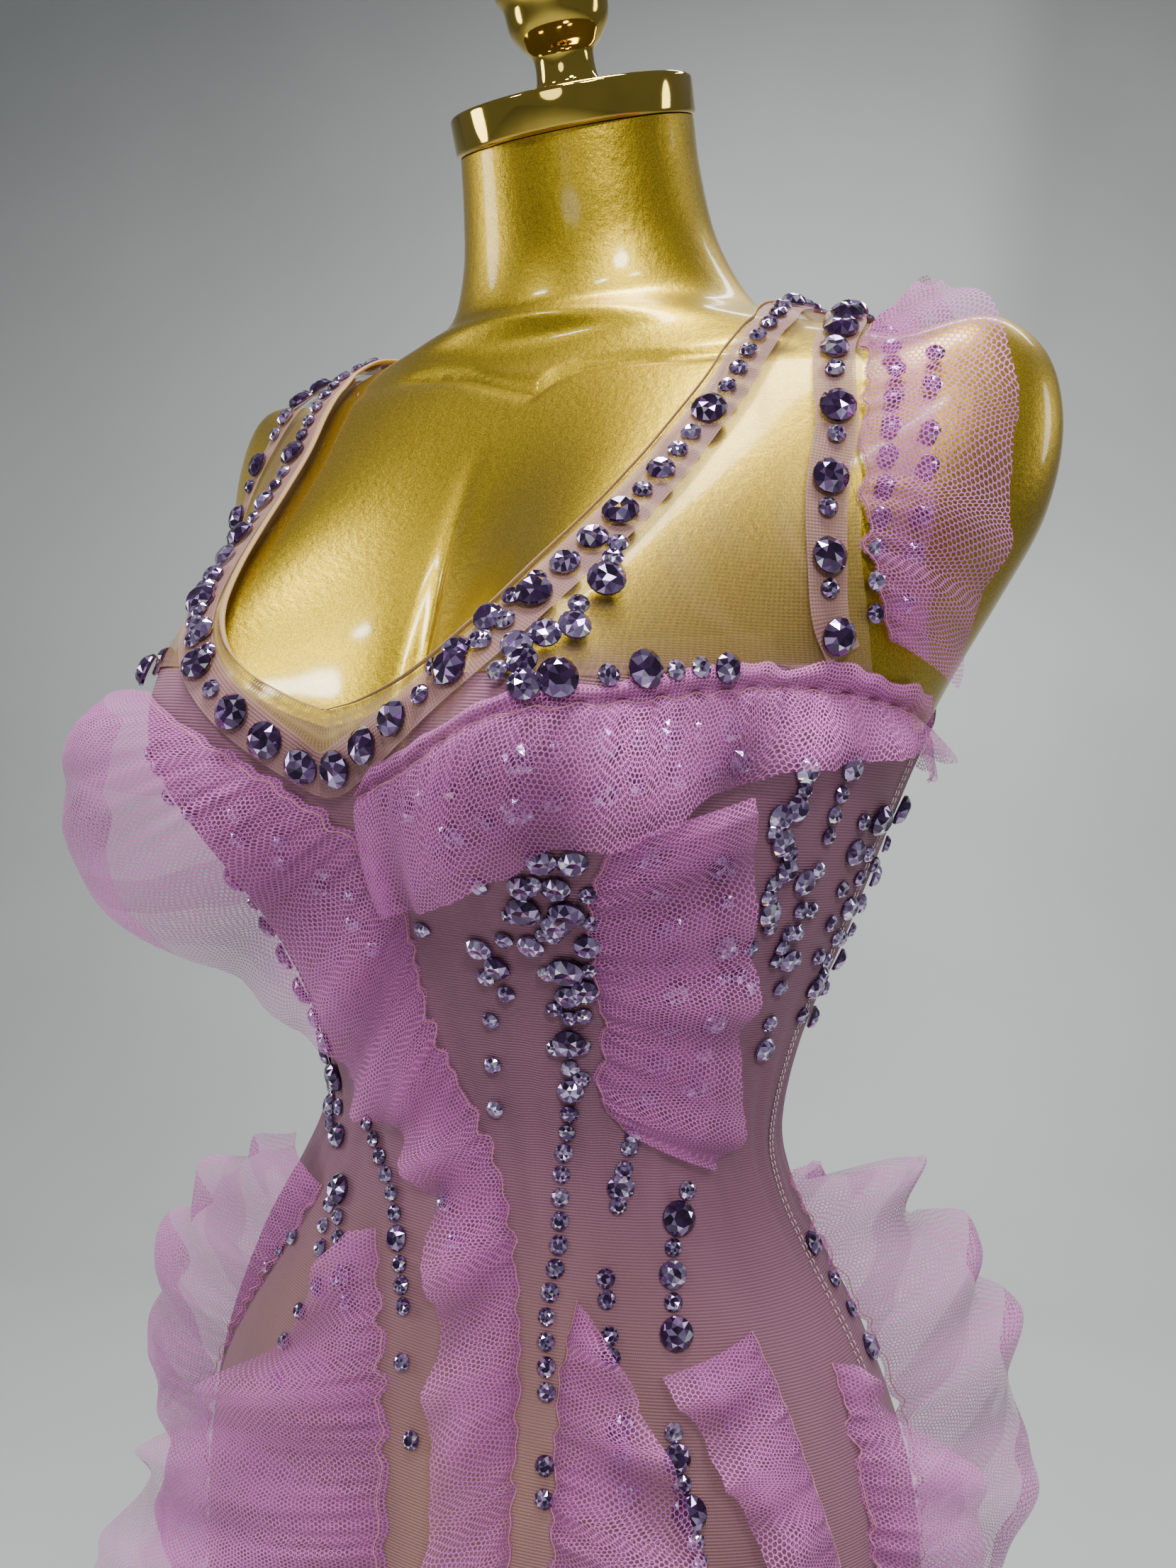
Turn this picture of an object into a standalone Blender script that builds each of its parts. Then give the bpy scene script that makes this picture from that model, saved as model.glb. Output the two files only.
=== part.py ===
"""Mini dress with tulle ruffles and set stones, worn by a limbless dress form on a turned stand.

Metres, +Z up. The form faces -Y, its left side is +X, and the stand's base is centred on the origin.
Places on the body are given as an angle in degrees, 0 at the front and 90 at its left side, and a height.
"""
import math
from bisect import bisect_right

import bmesh
import bpy
import numpy as np
from mathutils import Matrix, Vector

# Driving sizes
FORM_BOTTOM = 0.800
CLOTH = 0.0012
BAND_CLOTH = 0.0010
CLOTH_GAP = 0.0017
BAND_GAP = 0.0010
SEAT_GAP = 0.0003
PANEL_OUT = CLOTH_GAP + CLOTH
YOKE_GAP = 0.0021
YOKE_OUT = YOKE_GAP + CLOTH
BAND_OUT = YOKE_OUT + BAND_GAP + BAND_CLOTH
SIDE_SEAM = 88.0
SEAM_GAP = 0.09
BAND_WIDTH = 0.0155

NECK_CAP_RADIUS = 0.0540
NECK_CAP_HEIGHT = 0.0158
BASE_HEIGHT = 0.034
POLE_RADIUS = 0.0125
COLLAR_HEIGHT = 0.030

STONE = 0.0135
STONE_HEIGHT = 0.0042
STONE_SINK = 0.0008
STONE_SIDES = 6
STONE_TABLE = 0.56

# Mesh densities
FRONT_COLUMNS = 24
BACK_COLUMNS = 16
# heights of the panels' rows from the hem to under the bust, kept by the form where it is inside them
LOW_HEIGHTS = (0.660, 0.740, 0.820, 0.870, 0.915, 0.957, 1.000, 1.026, 1.052, 1.078, 1.104, 1.130)
FORM_HEIGHTS = (
    1.146, 1.162, 1.178, 1.194, 1.210, 1.226, 1.242, 1.260, 1.282, 1.306, 1.328, 1.350, 1.370, 1.385, 1.393,
    1.399, 1.404, 1.412, 1.425, 1.447, 1.472, 1.498,
)
# share of the full ring, rise above the form's bottom
BOTTOM_ROUND = ((0.960, 0.0), (0.990, 0.0030))
FRONT_BUST_ROWS = 7
BACK_BUST_ROWS = 4
TURNED_SIDES = 24
ROUND_SIDES = 36
FINIAL_SIDES = 16
SHARP_ANGLE = 40
MERGE_WITHIN = 0.00005

# centre height, centre y, half width, front depth, back depth, forward tilt in degrees
BODY_RINGS = (
    (0.655, 0.010, 0.1710, 0.133, 0.110, 0),
    (0.730, 0.012, 0.1720, 0.134, 0.110, 0),
    (0.800, 0.012, 0.1740, 0.135, 0.111, 0),
    (0.840, 0.012, 0.1760, 0.137, 0.112, 0),
    (0.880, 0.010, 0.1770, 0.136, 0.112, 0),
    (0.930, 0.004, 0.1700, 0.126, 0.103, 0),
    (0.980, -0.003, 0.1510, 0.109, 0.092, 0),
    (1.020, -0.008, 0.1270, 0.096, 0.083, 0),
    (1.045, -0.011, 0.1140, 0.089, 0.079, 0),
    (1.070, -0.013, 0.1090, 0.087, 0.078, 0),
    (1.110, -0.017, 0.1170, 0.095, 0.082, 0),
    (1.160, -0.021, 0.1360, 0.098, 0.090, 0),
    (1.210, -0.024, 0.1530, 0.098, 0.094, 0),
    (1.250, -0.024, 0.1680, 0.094, 0.094, 0),
    (1.295, -0.023, 0.1890, 0.091, 0.088, 0),
    (1.325, -0.022, 0.2030, 0.086, 0.082, 0),
    (1.352, -0.021, 0.2070, 0.078, 0.076, 0),
    (1.374, -0.021, 0.1980, 0.069, 0.070, 0),
    (1.390, -0.022, 0.1720, 0.061, 0.065, 3),
    (1.403, -0.024, 0.1300, 0.057, 0.062, 6),
    (1.416, -0.020, 0.0930, 0.064, 0.055, 9),
    (1.430, -0.016, 0.0735, 0.066, 0.048, 14),
    (1.452, -0.030, 0.0605, 0.0545, 0.050, 20),
    (1.477, -0.0415, 0.0550, 0.051, 0.051, 25),
    (1.498, -0.0487, 0.0532, 0.0505, 0.0505, 27),
)
FINE_STEPS = 16
PATH_STEPS = 12
# degrees and metres between the points that give the skin's slope
WIDE_STEP = (3.0, 0.006)
SHORT_STEP = (1.0, 0.002)

BUST_SIDE = 0.080
BUST_HEIGHT = 1.224
BUST_DEPTH = 0.080
BUST_WIDTH = 0.056
BUST_ABOVE = 0.088
BUST_BELOW = 0.072
BUST_TOP = 1.400
BARE_VALLEY = 1.0
CLOTH_VALLEY = 0.35
# the arm stubs' lift and outward push, from which x and over what width they grow, and their heights
STUB_LIFT = 0.018
STUB_PUSH = 0.003
STUB_START = 0.144
STUB_SPAN = 0.046
STUB_TOP = 1.380
STUB_MIDDLE = 1.325
STUB_FADE = 0.045

# angle, height: top edge of the front panel, from the centre to the side seam
FRONT_TOP = (
    (0, 1.2240), (7, 1.2285), (14, 1.2360), (20, 1.2425), (27, 1.2430), (35, 1.2440),
    (45, 1.2510), (55, 1.2580), (64, 1.2585), (75, 1.2490), (88, 1.2380), (95, 1.2370),
)
# angle, height: top edge of the back panel, from the side seam to the centre
BACK_TOP = (
    (80, 1.2380), (90, 1.2390), (105, 1.2500), (120, 1.2680), (135, 1.2790), (150, 1.2860),
    (165, 1.2890), (180, 1.2900), (195, 1.2890),
)
# neckline angle, neckline height, armhole angle, armhole height: from the bust line to the shoulder
FRONT_YOKE = (
    (22.0, 1.2430, 66, 1.2580),
    (21.4, 1.2600, 61, 1.2730),
    (23.5, 1.2850, 54, 1.2970),
    (24.8, 1.3120, 49, 1.3220),
    (25.8, 1.3400, 46, 1.3480),
    (28.0, 1.3640, 47, 1.3720),
    (33.2, 1.3850, 52, 1.3860),
    (43.0, 1.3995, 64, 1.3945),
    (62.0, 1.4085, 78, 1.3990),
    (89.3, 1.4130, 89.7, 1.4000),
)
# the same columns from the back panel's top edge to the shoulder
BACK_YOKE = (
    (168.5, 1.2893, 122.5, 1.2700),
    (162.0, 1.3060, 129, 1.2970),
    (157.8, 1.3320, 134, 1.3220),
    (154.5, 1.3560, 136, 1.3480),
    (149.9, 1.3780, 134, 1.3720),
    (140.9, 1.3950, 128, 1.3860),
    (120.0, 1.4080, 114, 1.3955),
    (90.7, 1.4130, 90.3, 1.4000),
)
FRONT_YOKE_COLUMNS = 6
BACK_YOKE_COLUMNS = 4
FRONT_YOKE_ROWS = 12
BACK_YOKE_ROWS = 10

# angle, height: middle of each band
NECKLINE_BAND = (
    (0, 1.2090), (5.5, 1.2145), (10.5, 1.2215), (16, 1.2310), (21, 1.2440), (24.5, 1.2600), (26.3, 1.2800),
    (27.3, 1.3000), (27.7, 1.3200), (28.6, 1.3420), (30.4, 1.3600), (33, 1.3760), (38.7, 1.3895),
    (51.3, 1.4005), (66.2, 1.4070), (90, 1.4103), (113.8, 1.4070), (128.7, 1.4005), (141.3, 1.3895),
    (148.5, 1.3720), (152.4, 1.3520), (155.1, 1.3300), (158.2, 1.3080), (163.5, 1.2910), (171, 1.2830),
    (179.6, 1.2815),
)
BUST_BAND = ((31.5, 1.2460), (38, 1.2490), (45, 1.2545), (50.5, 1.2595))
ARMHOLE_BAND = (
    (60.5, 1.2630), (56, 1.2750), (51, 1.2960), (45.8, 1.3200), (43.3, 1.3450), (42.5, 1.3640),
    (44.5, 1.3790), (52.5, 1.3910), (67, 1.3995), (90, 1.4030), (110, 1.3995), (127, 1.3920), (136, 1.3780),
    (139, 1.3600), (138.6, 1.3400), (136.2, 1.3140), (133, 1.2920),
)
BAND_STEP = 0.0165

# Stones in order along a path: L large, M medium, s small, . a short space. Only large ones are raised.
STONE_PITCH = {"L": 0.0150, "M": 0.0125, "s": 0.0085, ".": 0.0060}
NECKLINE_STONES = "LLLsLssLMMLsMssLsssssssMssssMsssssMssMsLsMssLsM"
BUST_STONES = "LssL"
ARMHOLE_STONES = "L.sL.sL.sL.sMLLLsssLsM.ssL.sM.ss.sM"

# carrier, (angle, height) knots of the chain, stones from its top down
STONE_CHAINS = (
    ("front_panel", ((33, 1.152), (32, 1.118), (31.5, 1.090), (29, 1.060), (27.5, 1.030), (24.5, 1.005),
                     (24, 0.975)),
     "LMsLsMsssssssssssss"),
    ("front_panel", ((18.5, 1.158), (17.5, 1.130), (16, 1.098), (15, 1.076)), "Ms.s.s.s"),
    ("front_panel", ((58, 1.056), (51.5, 1.036), (48, 1.016), (46, 0.996)), "sLsMsL"),
    ("front_panel", ((-48, 1.168), (-46, 1.130), (-42, 1.092), (-37, 1.062), (-31, 1.040)), "LsMLLsMLsM"),
    ("front_panel", ((-27, 1.034), (-22, 1.016), (-17, 1.000), (-12, 0.985)), "Lss.Ms"),
    ("front_panel", ((70, 1.188), (73, 1.160), (74, 1.132), (76, 1.104)), "MssMs.sM"),
    ("front_panel", ((84, 1.215), (86, 1.186), (86.5, 1.150), (87, 1.118)), "LssMssMs"),
    ("back_panel", ((92, 1.030), (96, 1.000), (98, 0.970)), "MssM"),
    ("back_panel", ((97, 1.220), (100, 1.190), (102, 1.150), (103, 1.110)), "LsMssMsM"),
    ("back_panel", ((128, 1.215), (130, 1.180), (133, 1.140), (136, 1.100), (137, 1.070)), "LMsMssMs.s"),
    ("back_panel", ((158, 1.225), (158, 1.190), (160, 1.150), (162, 1.110), (163, 1.060)), "LLsMsM.sMss"),
    ("back_panel", ((184, 1.225), (184, 1.180), (186, 1.130), (187, 1.080), (188, 1.040)), "MLsLsMsMs.sM"),
    ("back_panel", ((212, 1.220), (210, 1.180), (208, 1.140), (206, 1.095), (205, 1.065)), "LsLsMs.Ms"),
    ("back_panel", ((244, 1.205), (240, 1.160), (236, 1.110), (234, 1.060)), "LMsLsMssM"),
)
# carrier, angle, height: the cluster at the top of the centre chain
CLUSTER_STONES = (
    ("front_panel", 35.5, 1.1690),
    ("front_panel", 29.0, 1.1690),
)

# foot: how far the seam stands off the panel; waves and their swing; steps along the seam; and the rows
# seam angle, seam height, free edge angle, free edge height, free edge stand-off
RUFFLES = {
    "armhole_ruffle": dict(foot=0.0013, waves=4, swing=0.0035, along=20, rows=(
        (128.5, 1.3850, 125, 1.379, 0.014), (112, 1.3945, 112, 1.388, 0.020),
        (96, 1.3995, 98, 1.396, 0.020),
        (78, 1.3987, 84, 1.395, 0.019), (61.2, 1.3933, 71, 1.388, 0.017), (49.2, 1.381, 65, 1.377, 0.015),
        (46.1, 1.350, 65.5, 1.345, 0.014), (49.2, 1.321, 70.5, 1.313, 0.014),
        (55.3, 1.296, 75.5, 1.285, 0.014),
        (65.0, 1.271, 81, 1.261, 0.013))),
    "bust_ruffle": dict(foot=0.0013, waves=5, swing=0.003, along=20, rows=(
        (8, 1.2055, 8, 1.168, 0.014), (17, 1.2140, 15, 1.173, 0.014), (28, 1.2300, 28, 1.185, 0.013),
        (40, 1.2380, 42, 1.199, 0.013), (52, 1.2480, 55, 1.217, 0.014), (64, 1.2495, 67, 1.229, 0.016),
        (76, 1.2480, 78, 1.235, 0.019), (87, 1.2440, 88, 1.236, 0.020))),
    "under_bust_ruffle": dict(foot=0.0013, waves=3, swing=0.003, along=14, rows=(
        (43, 1.195, 56, 1.2125, 0.009), (39, 1.174, 59, 1.190, 0.013), (37, 1.148, 62, 1.152, 0.014),
        (38, 1.120, 65, 1.112, 0.014), (37, 1.094, 68, 1.074, 0.013), (42, 1.079, 62, 1.062, 0.011))),
    "bust_cascade": dict(foot=0.0013, waves=9, swing=0.006, along=38, rows=(
        (-32, 1.234, -54, 1.228, 0.040), (-15, 1.214, -56, 1.195, 0.056), (-4, 1.1985, -48, 1.160, 0.044),
        (3, 1.186, -36, 1.135, 0.030), (6, 1.165, -20, 1.108, 0.022), (4, 1.125, -12, 1.078, 0.017),
        (8, 1.092, -4, 1.060, 0.014), (15, 1.060, 1, 1.040, 0.013), (19, 1.030, 6, 1.012, 0.014),
        (20, 0.998, 8, 0.985, 0.016), (20, 0.965, 10, 0.950, 0.018), (20, 0.928, 11, 0.905, 0.024),
        (20, 0.860, 10, 0.830, 0.030), (18, 0.780, 8, 0.750, 0.034), (16, 0.700, 6, 0.668, 0.034))),
    "hip_cascade_right": dict(foot=0.0010, waves=5, swing=0.009, along=22, rows=(
        (-11, 1.020, -15, 1.016, 0.010), (-5, 0.990, -22, 0.968, 0.016), (-1, 0.960, -32, 0.930, 0.024),
        (2, 0.928, -41, 0.892, 0.034), (3, 0.890, -47, 0.850, 0.044), (2, 0.830, -47, 0.780, 0.050),
        (0, 0.760, -42, 0.715, 0.050), (-2, 0.695, -30, 0.668, 0.045))),
    "side_cascade_right": dict(foot=0.0005, waves=6, swing=0.010, along=24, rows=(
        (-32, 1.024, -50, 1.036, 0.014), (-36, 0.992, -62, 1.004, 0.032), (-42, 0.960, -73, 0.962, 0.047),
        (-48, 0.928, -82, 0.915, 0.058), (-54, 0.890, -90, 0.865, 0.064), (-57, 0.830, -93, 0.795, 0.064),
        (-58, 0.760, -92, 0.725, 0.060), (-58, 0.695, -84, 0.668, 0.052))),
    "hip_ruffle_centre": dict(foot=0.0005, waves=4, swing=0.006, along=18, rows=(
        (30, 1.012, 32, 1.008, 0.009), (26, 0.985, 38, 0.984, 0.015), (25, 0.952, 43, 0.950, 0.019),
        (25, 0.915, 47, 0.910, 0.023), (26, 0.850, 50, 0.845, 0.028), (27, 0.780, 50, 0.770, 0.032),
        (28, 0.700, 50, 0.672, 0.034))),
    "hip_ruffle_left": dict(foot=0.0003, waves=4, swing=0.006, along=18, rows=(
        (62, 1.002, 42, 0.990, 0.013), (64, 0.972, 47, 0.966, 0.016), (66, 0.942, 51, 0.943, 0.019),
        (68, 0.915, 54, 0.918, 0.023), (70, 0.850, 56, 0.850, 0.028), (71, 0.780, 57, 0.775, 0.032),
        (71, 0.700, 58, 0.672, 0.034))),
    "side_ruffle_left": dict(foot=0.0003, waves=4, swing=0.008, along=18, rows=(
        (78, 0.985, 81, 0.982, 0.011), (76, 0.955, 90, 0.948, 0.021), (75, 0.920, 95, 0.908, 0.031),
        (76, 0.860, 99, 0.842, 0.038), (77, 0.780, 101, 0.765, 0.042), (78, 0.700, 99, 0.670, 0.042))),
    "side_cascade_left": dict(foot=0.0010, waves=6, swing=0.011, along=26, rows=(
        (99, 1.048, 108, 1.046, 0.014), (99, 1.028, 114, 1.030, 0.036), (101, 1.000, 118, 1.006, 0.056),
        (103, 0.968, 121, 0.975, 0.070), (106, 0.930, 124, 0.930, 0.078), (110, 0.870, 126, 0.860, 0.076),
        (113, 0.790, 126, 0.775, 0.068), (114, 0.710, 124, 0.672, 0.056))),
    "back_cascade_left": dict(foot=0.0007, waves=5, swing=0.009, along=20, rows=(
        (138, 1.040, 142, 1.035, 0.010), (134, 0.990, 150, 0.982, 0.026), (132, 0.940, 156, 0.930, 0.040),
        (134, 0.870, 160, 0.855, 0.050), (136, 0.790, 160, 0.770, 0.052), (138, 0.700, 156, 0.670, 0.046))),
    "back_cascade_centre": dict(foot=0.0004, waves=5, swing=0.009, along=20, rows=(
        (170, 1.020, 175, 1.012, 0.010), (168, 0.970, 186, 0.958, 0.028), (168, 0.920, 192, 0.905, 0.042),
        (170, 0.850, 195, 0.835, 0.050), (172, 0.770, 195, 0.755, 0.052), (172, 0.700, 190, 0.670, 0.046))),
    "back_cascade_right": dict(foot=0.0005, waves=5, swing=0.009, along=20, rows=(
        (206, 1.035, 211, 1.030, 0.010), (204, 0.990, 222, 0.980, 0.030), (203, 0.940, 229, 0.928, 0.044),
        (205, 0.870, 233, 0.855, 0.050), (208, 0.790, 233, 0.770, 0.052), (208, 0.700, 228, 0.670, 0.046))),
    "side_ruffle_right": dict(foot=0.0000, waves=4, swing=0.008, along=18, rows=(
        (242, 1.020, 247, 1.012, 0.010), (241, 0.970, 254, 0.960, 0.026), (241, 0.920, 258, 0.905, 0.040),
        (243, 0.850, 260, 0.835, 0.048), (245, 0.770, 260, 0.755, 0.048), (246, 0.700, 257, 0.670, 0.044))),
    "bust_ruffle_right": dict(foot=0.0008, waves=3, swing=0.002, along=14, rows=(
        (-42, 1.2390, -43, 1.210, 0.010), (-54, 1.2480, -55, 1.218, 0.011),
        (-66, 1.2470, -68, 1.222, 0.011),
        (-78, 1.2410, -79, 1.224, 0.011), (-86, 1.2350, -87, 1.226, 0.009))),
    "back_bust_ruffle": dict(foot=0.0010, waves=7, swing=0.004, along=26, rows=(
        (95, 1.2330, 94, 1.224, 0.010), (110, 1.2450, 110, 1.228, 0.012), (130, 1.2600, 130, 1.236, 0.013),
        (150, 1.2680, 150, 1.242, 0.013), (170, 1.2700, 170, 1.244, 0.013),
        (190, 1.2700, 190, 1.244, 0.013),
        (210, 1.2680, 210, 1.242, 0.013), (230, 1.2600, 230, 1.236, 0.013),
        (250, 1.2450, 250, 1.228, 0.012),
        (265, 1.2330, 266, 1.224, 0.010))),
}
RUFFLE_ACROSS = 3

# radius, height above the neck cap: the turned finial from its foot to its tip
FINIAL_PROFILE = (
    (0.0165, 0.0000), (0.0160, 0.0025), (0.0136, 0.0070), (0.0133, 0.0160), (0.0172, 0.0205),
    (0.0215, 0.0270), (0.0228, 0.0355), (0.0252, 0.0400), (0.0252, 0.0440), (0.0195, 0.0500),
    (0.0132, 0.0560),
    (0.0158, 0.0600), (0.0140, 0.0640), (0.0112, 0.0670), (0.0150, 0.0735), (0.0178, 0.0820),
    (0.0162, 0.0900),
    (0.0100, 0.0965),
)
# radius, height: the turned base from its rim to its hub
BASE_PROFILE = (
    (0.1720, 0.0000), (0.1750, 0.0030), (0.1750, 0.0080), (0.1700, 0.0115), (0.0900, 0.0170),
    (0.0450, 0.0215), (0.0290, 0.0265), (0.0240, 0.0340),
)
# radius, height under the form: the collar that seats the form on its pole
COLLAR_PROFILE = (
    (0.0300, 0.0000), (0.0300, -0.0040), (0.0240, -0.0100), (0.0185, -0.0200), (0.0175, -0.0300),
)

# name, base colour, metallic, roughness
FINISHES = {
    "form_gold": ((0.58, 0.40, 0.10), 0.9, 0.30),
    "polished_gold": ((0.80, 0.66, 0.24), 1.0, 0.08),
    "mauve_mesh": ((0.45, 0.24, 0.33), 0.0, 0.65),
    "sheer_mesh": ((0.62, 0.42, 0.38), 0.0, 0.60),
    "band_mesh": ((0.42, 0.22, 0.34), 0.0, 0.60),
    "orchid_tulle": ((0.66, 0.34, 0.60), 0.0, 0.70),
}


def smooth_row(rows, place):
    """Catmull-Rom blend of a table's rows at a fractional row number."""
    last = len(rows) - 1
    i = min(max(int(place), 0), last - 1)
    t = place - i
    second, third = rows[i], rows[i + 1]
    first = rows[i - 1] if i else [2 * a - b for a, b in zip(second, third)]
    fourth = rows[i + 2] if i + 2 <= last else [2 * b - a for a, b in zip(second, third)]
    return [b + 0.5 * t * (c - a + t * (2 * a - 5 * b + 4 * c - d + t * (3 * (b - c) + d - a)))
            for a, b, c, d in zip(first, second, third, fourth)]


FINE_RINGS = [smooth_row(BODY_RINGS, k / FINE_STEPS) for k in range(FINE_STEPS * (len(BODY_RINGS) - 1) + 1)]
FINE_HEIGHTS = [row[0] for row in FINE_RINGS]


def row_between(rows, keys, value):
    """Linear blend of the two rows whose keys lie round a value."""
    i = min(max(bisect_right(keys, value) - 1, 0), len(rows) - 2)
    t = (value - keys[i]) / (keys[i + 1] - keys[i])
    return [a + t * (b - a) for a, b in zip(rows[i], rows[i + 1])]


def bust(x, z, valley):
    """How far the bust stands forward, with a cloth's valley filled between the cups."""
    rise = z - BUST_HEIGHT
    fade = math.exp(-(rise / (BUST_ABOVE if rise > 0 else BUST_BELOW)) ** 2)
    lobes = sum(math.exp(-((x - side * BUST_SIDE) / BUST_WIDTH) ** 2) for side in (-1, 1))
    if abs(x) < BUST_SIDE:
        lobes = lobes * valley + 1 - valley
    return BUST_DEPTH * fade * lobes


def stub(x, z):
    """How far an arm stub moves the skin outwards and upwards."""
    t = min(max((abs(x) - STUB_START) / STUB_SPAN, 0.0), 1.0)
    grown = t * t * (3 - 2 * t)
    push = STUB_PUSH * grown * math.exp(-((z - STUB_MIDDLE) / STUB_FADE) ** 2)
    lift = STUB_LIFT * grown * math.exp(-(max(STUB_TOP - z, 0.0) / STUB_FADE) ** 2)
    return math.copysign(push, x), lift


def body_point(angle, height, valley):
    """Point of the body's skin at an angle and a height."""
    _, centre, width, front, back, tilt = row_between(FINE_RINGS, FINE_HEIGHTS, height)
    turn = math.radians(angle)
    forward = math.cos(turn)
    x = width * math.sin(turn)
    y = -(front if forward > 0 else back) * forward
    if forward > 0 and height < BUST_TOP:
        y -= bust(x, height, valley) * min(1.0, 2.2 * forward)
    lean = math.radians(tilt)
    push, lift = stub(x, height)
    return np.array([x + push, centre + y * math.cos(lean), height + y * math.sin(lean) + lift])


def frame_on(angle, height):
    """Point, direction round, direction up and outward normal of the cloth's inner skin."""
    turn, rise = WIDE_STEP
    across = body_point(angle + turn, height, CLOTH_VALLEY) - body_point(angle - turn, height, CLOTH_VALLEY)
    up = body_point(angle, height + rise, CLOTH_VALLEY) - body_point(angle, height - rise, CLOTH_VALLEY)
    normal = np.cross(across, up)
    normal /= np.linalg.norm(normal)
    across /= np.linalg.norm(across)
    return body_point(angle, height, CLOTH_VALLEY), across, np.cross(normal, across), normal


def surface(angle, height, out):
    """Point that stands a distance off the body."""
    point, _, _, normal = frame_on(angle, height)
    return point + out * normal


def step_on(angle, height, move):
    """Angle and height reached by a small move along the body."""
    turn, rise = SHORT_STEP
    here = body_point(angle, height, CLOTH_VALLEY)
    by_turn = (body_point(angle + turn, height, CLOTH_VALLEY) - here) / turn
    by_rise = (body_point(angle, height + rise, CLOTH_VALLEY) - here) / rise
    square = np.array([[by_turn @ by_turn, by_turn @ by_rise], [by_turn @ by_rise, by_rise @ by_rise]])
    turned, risen = np.linalg.solve(square, np.array([by_turn @ move, by_rise @ move]))
    return angle + turned, height + risen


def edge_height(edge, angle):
    """Height of a panel's top edge at an angle."""
    keys = [row[0] for row in edge]
    i = min(max(bisect_right(keys, angle) - 1, 0), len(edge) - 2)
    return smooth_row(edge, i + (angle - keys[i]) / (keys[i + 1] - keys[i]))[1]


def spaced_path(knots, step, out):
    """Angle and height pairs about one step apart along a smooth path on the body."""
    samples = PATH_STEPS * (len(knots) - 1)
    path = [smooth_row(knots, k / PATH_STEPS) for k in range(samples + 1)]
    points = [surface(angle, height, out) for angle, height in path]
    lengths = [0.0]
    for a, b in zip(points, points[1:]):
        lengths.append(lengths[-1] + float(np.linalg.norm(b - a)))
    count = max(1, round(lengths[-1] / step))
    return [row_between(path, lengths, lengths[-1] * k / count) for k in range(count + 1)]


def chain_places(knots, stones, out):
    """Angle, height and size letter of each stone set along a path."""
    samples = PATH_STEPS * (len(knots) - 1)
    path = [smooth_row(knots, k / PATH_STEPS) for k in range(samples + 1)]
    points = [surface(angle, height, out) for angle, height in path]
    lengths = [0.0]
    for a, b in zip(points, points[1:]):
        lengths.append(lengths[-1] + float(np.linalg.norm(b - a)))
    scale = lengths[-1] / sum(STONE_PITCH[letter] for letter in stones)
    places, travelled = [], 0.0
    for letter in stones:
        pitch = STONE_PITCH[letter] * scale
        if letter != ".":
            angle, height = row_between(path, lengths, travelled + pitch / 2)
            places.append((angle, height, letter))
        travelled += pitch
    return places


def make_finish(name):
    """Material with a plain Principled shader."""
    colour, metallic, roughness = FINISHES[name]
    material = bpy.data.materials.new(name)
    material.use_nodes = True
    shader = material.node_tree.nodes["Principled BSDF"]
    shader.inputs["Base Color"].default_value = (*colour, 1.0)
    shader.inputs["Metallic"].default_value = metallic
    shader.inputs["Roughness"].default_value = roughness
    material.diffuse_color = (*colour, 1.0)
    return material


def add_object(name, bm, collection, finish):
    """Object made from a bmesh, shaded smooth up to sharp edges."""
    mesh = bpy.data.meshes.new(name)
    bm.to_mesh(mesh)
    bm.free()
    piece = bpy.data.objects.new(name, mesh)
    collection.objects.link(piece)
    if finish:
        material = make_finish(finish)
        material.name = f"{name}_{finish}"
        mesh.materials.append(material)
    mesh.shade_smooth()
    mesh.set_sharp_from_angle(angle=math.radians(SHARP_ANGLE))
    return piece


def grid_mesh(grid):
    """Open sheet through rows of points, facing away from the body's axis."""
    bm = bmesh.new()
    rows = [[bm.verts.new(point) for point in row] for row in grid]
    for low, high in zip(rows, rows[1:]):
        for k in range(len(low) - 1):
            bm.faces.new((low[k], low[k + 1], high[k + 1], high[k]))
    bm.normal_update()
    facing = sum(face.calc_area() * face.normal.dot(Vector((1, 1, 0)) * face.calc_center_median())
                 for face in bm.faces)
    if facing < 0:
        bmesh.ops.reverse_faces(bm, faces=bm.faces[:])
    return bm


def add_cloth(name, grid, thickness, collection, finish):
    """Cloth wall grown outwards from its inner surface."""
    piece = add_object(name, grid_mesh(grid), collection, finish)
    wall = piece.modifiers.new("wall", "SOLIDIFY")
    wall.thickness = thickness
    wall.offset = 1.0
    wall.use_even_offset = False
    return piece


def add_turned(name, profile, collection, finish, sides=TURNED_SIDES):
    """Turned solid from a profile of radius and height, closed on the axis."""
    bm = bmesh.new()
    points = sorted(profile, key=lambda row: -row[1])
    points = [(0.0, points[0][1]), *points, (0.0, points[-1][1])]
    verts = [bm.verts.new((radius, 0, height)) for radius, height in points]
    for a, b in zip(verts, verts[1:]):
        bm.edges.new((a, b))
    piece = add_object(name, bm, collection, finish)
    turn = piece.modifiers.new("turn", "SCREW")
    turn.angle = math.tau
    turn.steps = sides
    turn.render_steps = sides
    turn.use_merge_vertices = True
    turn.merge_threshold = MERGE_WITHIN
    return piece


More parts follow.
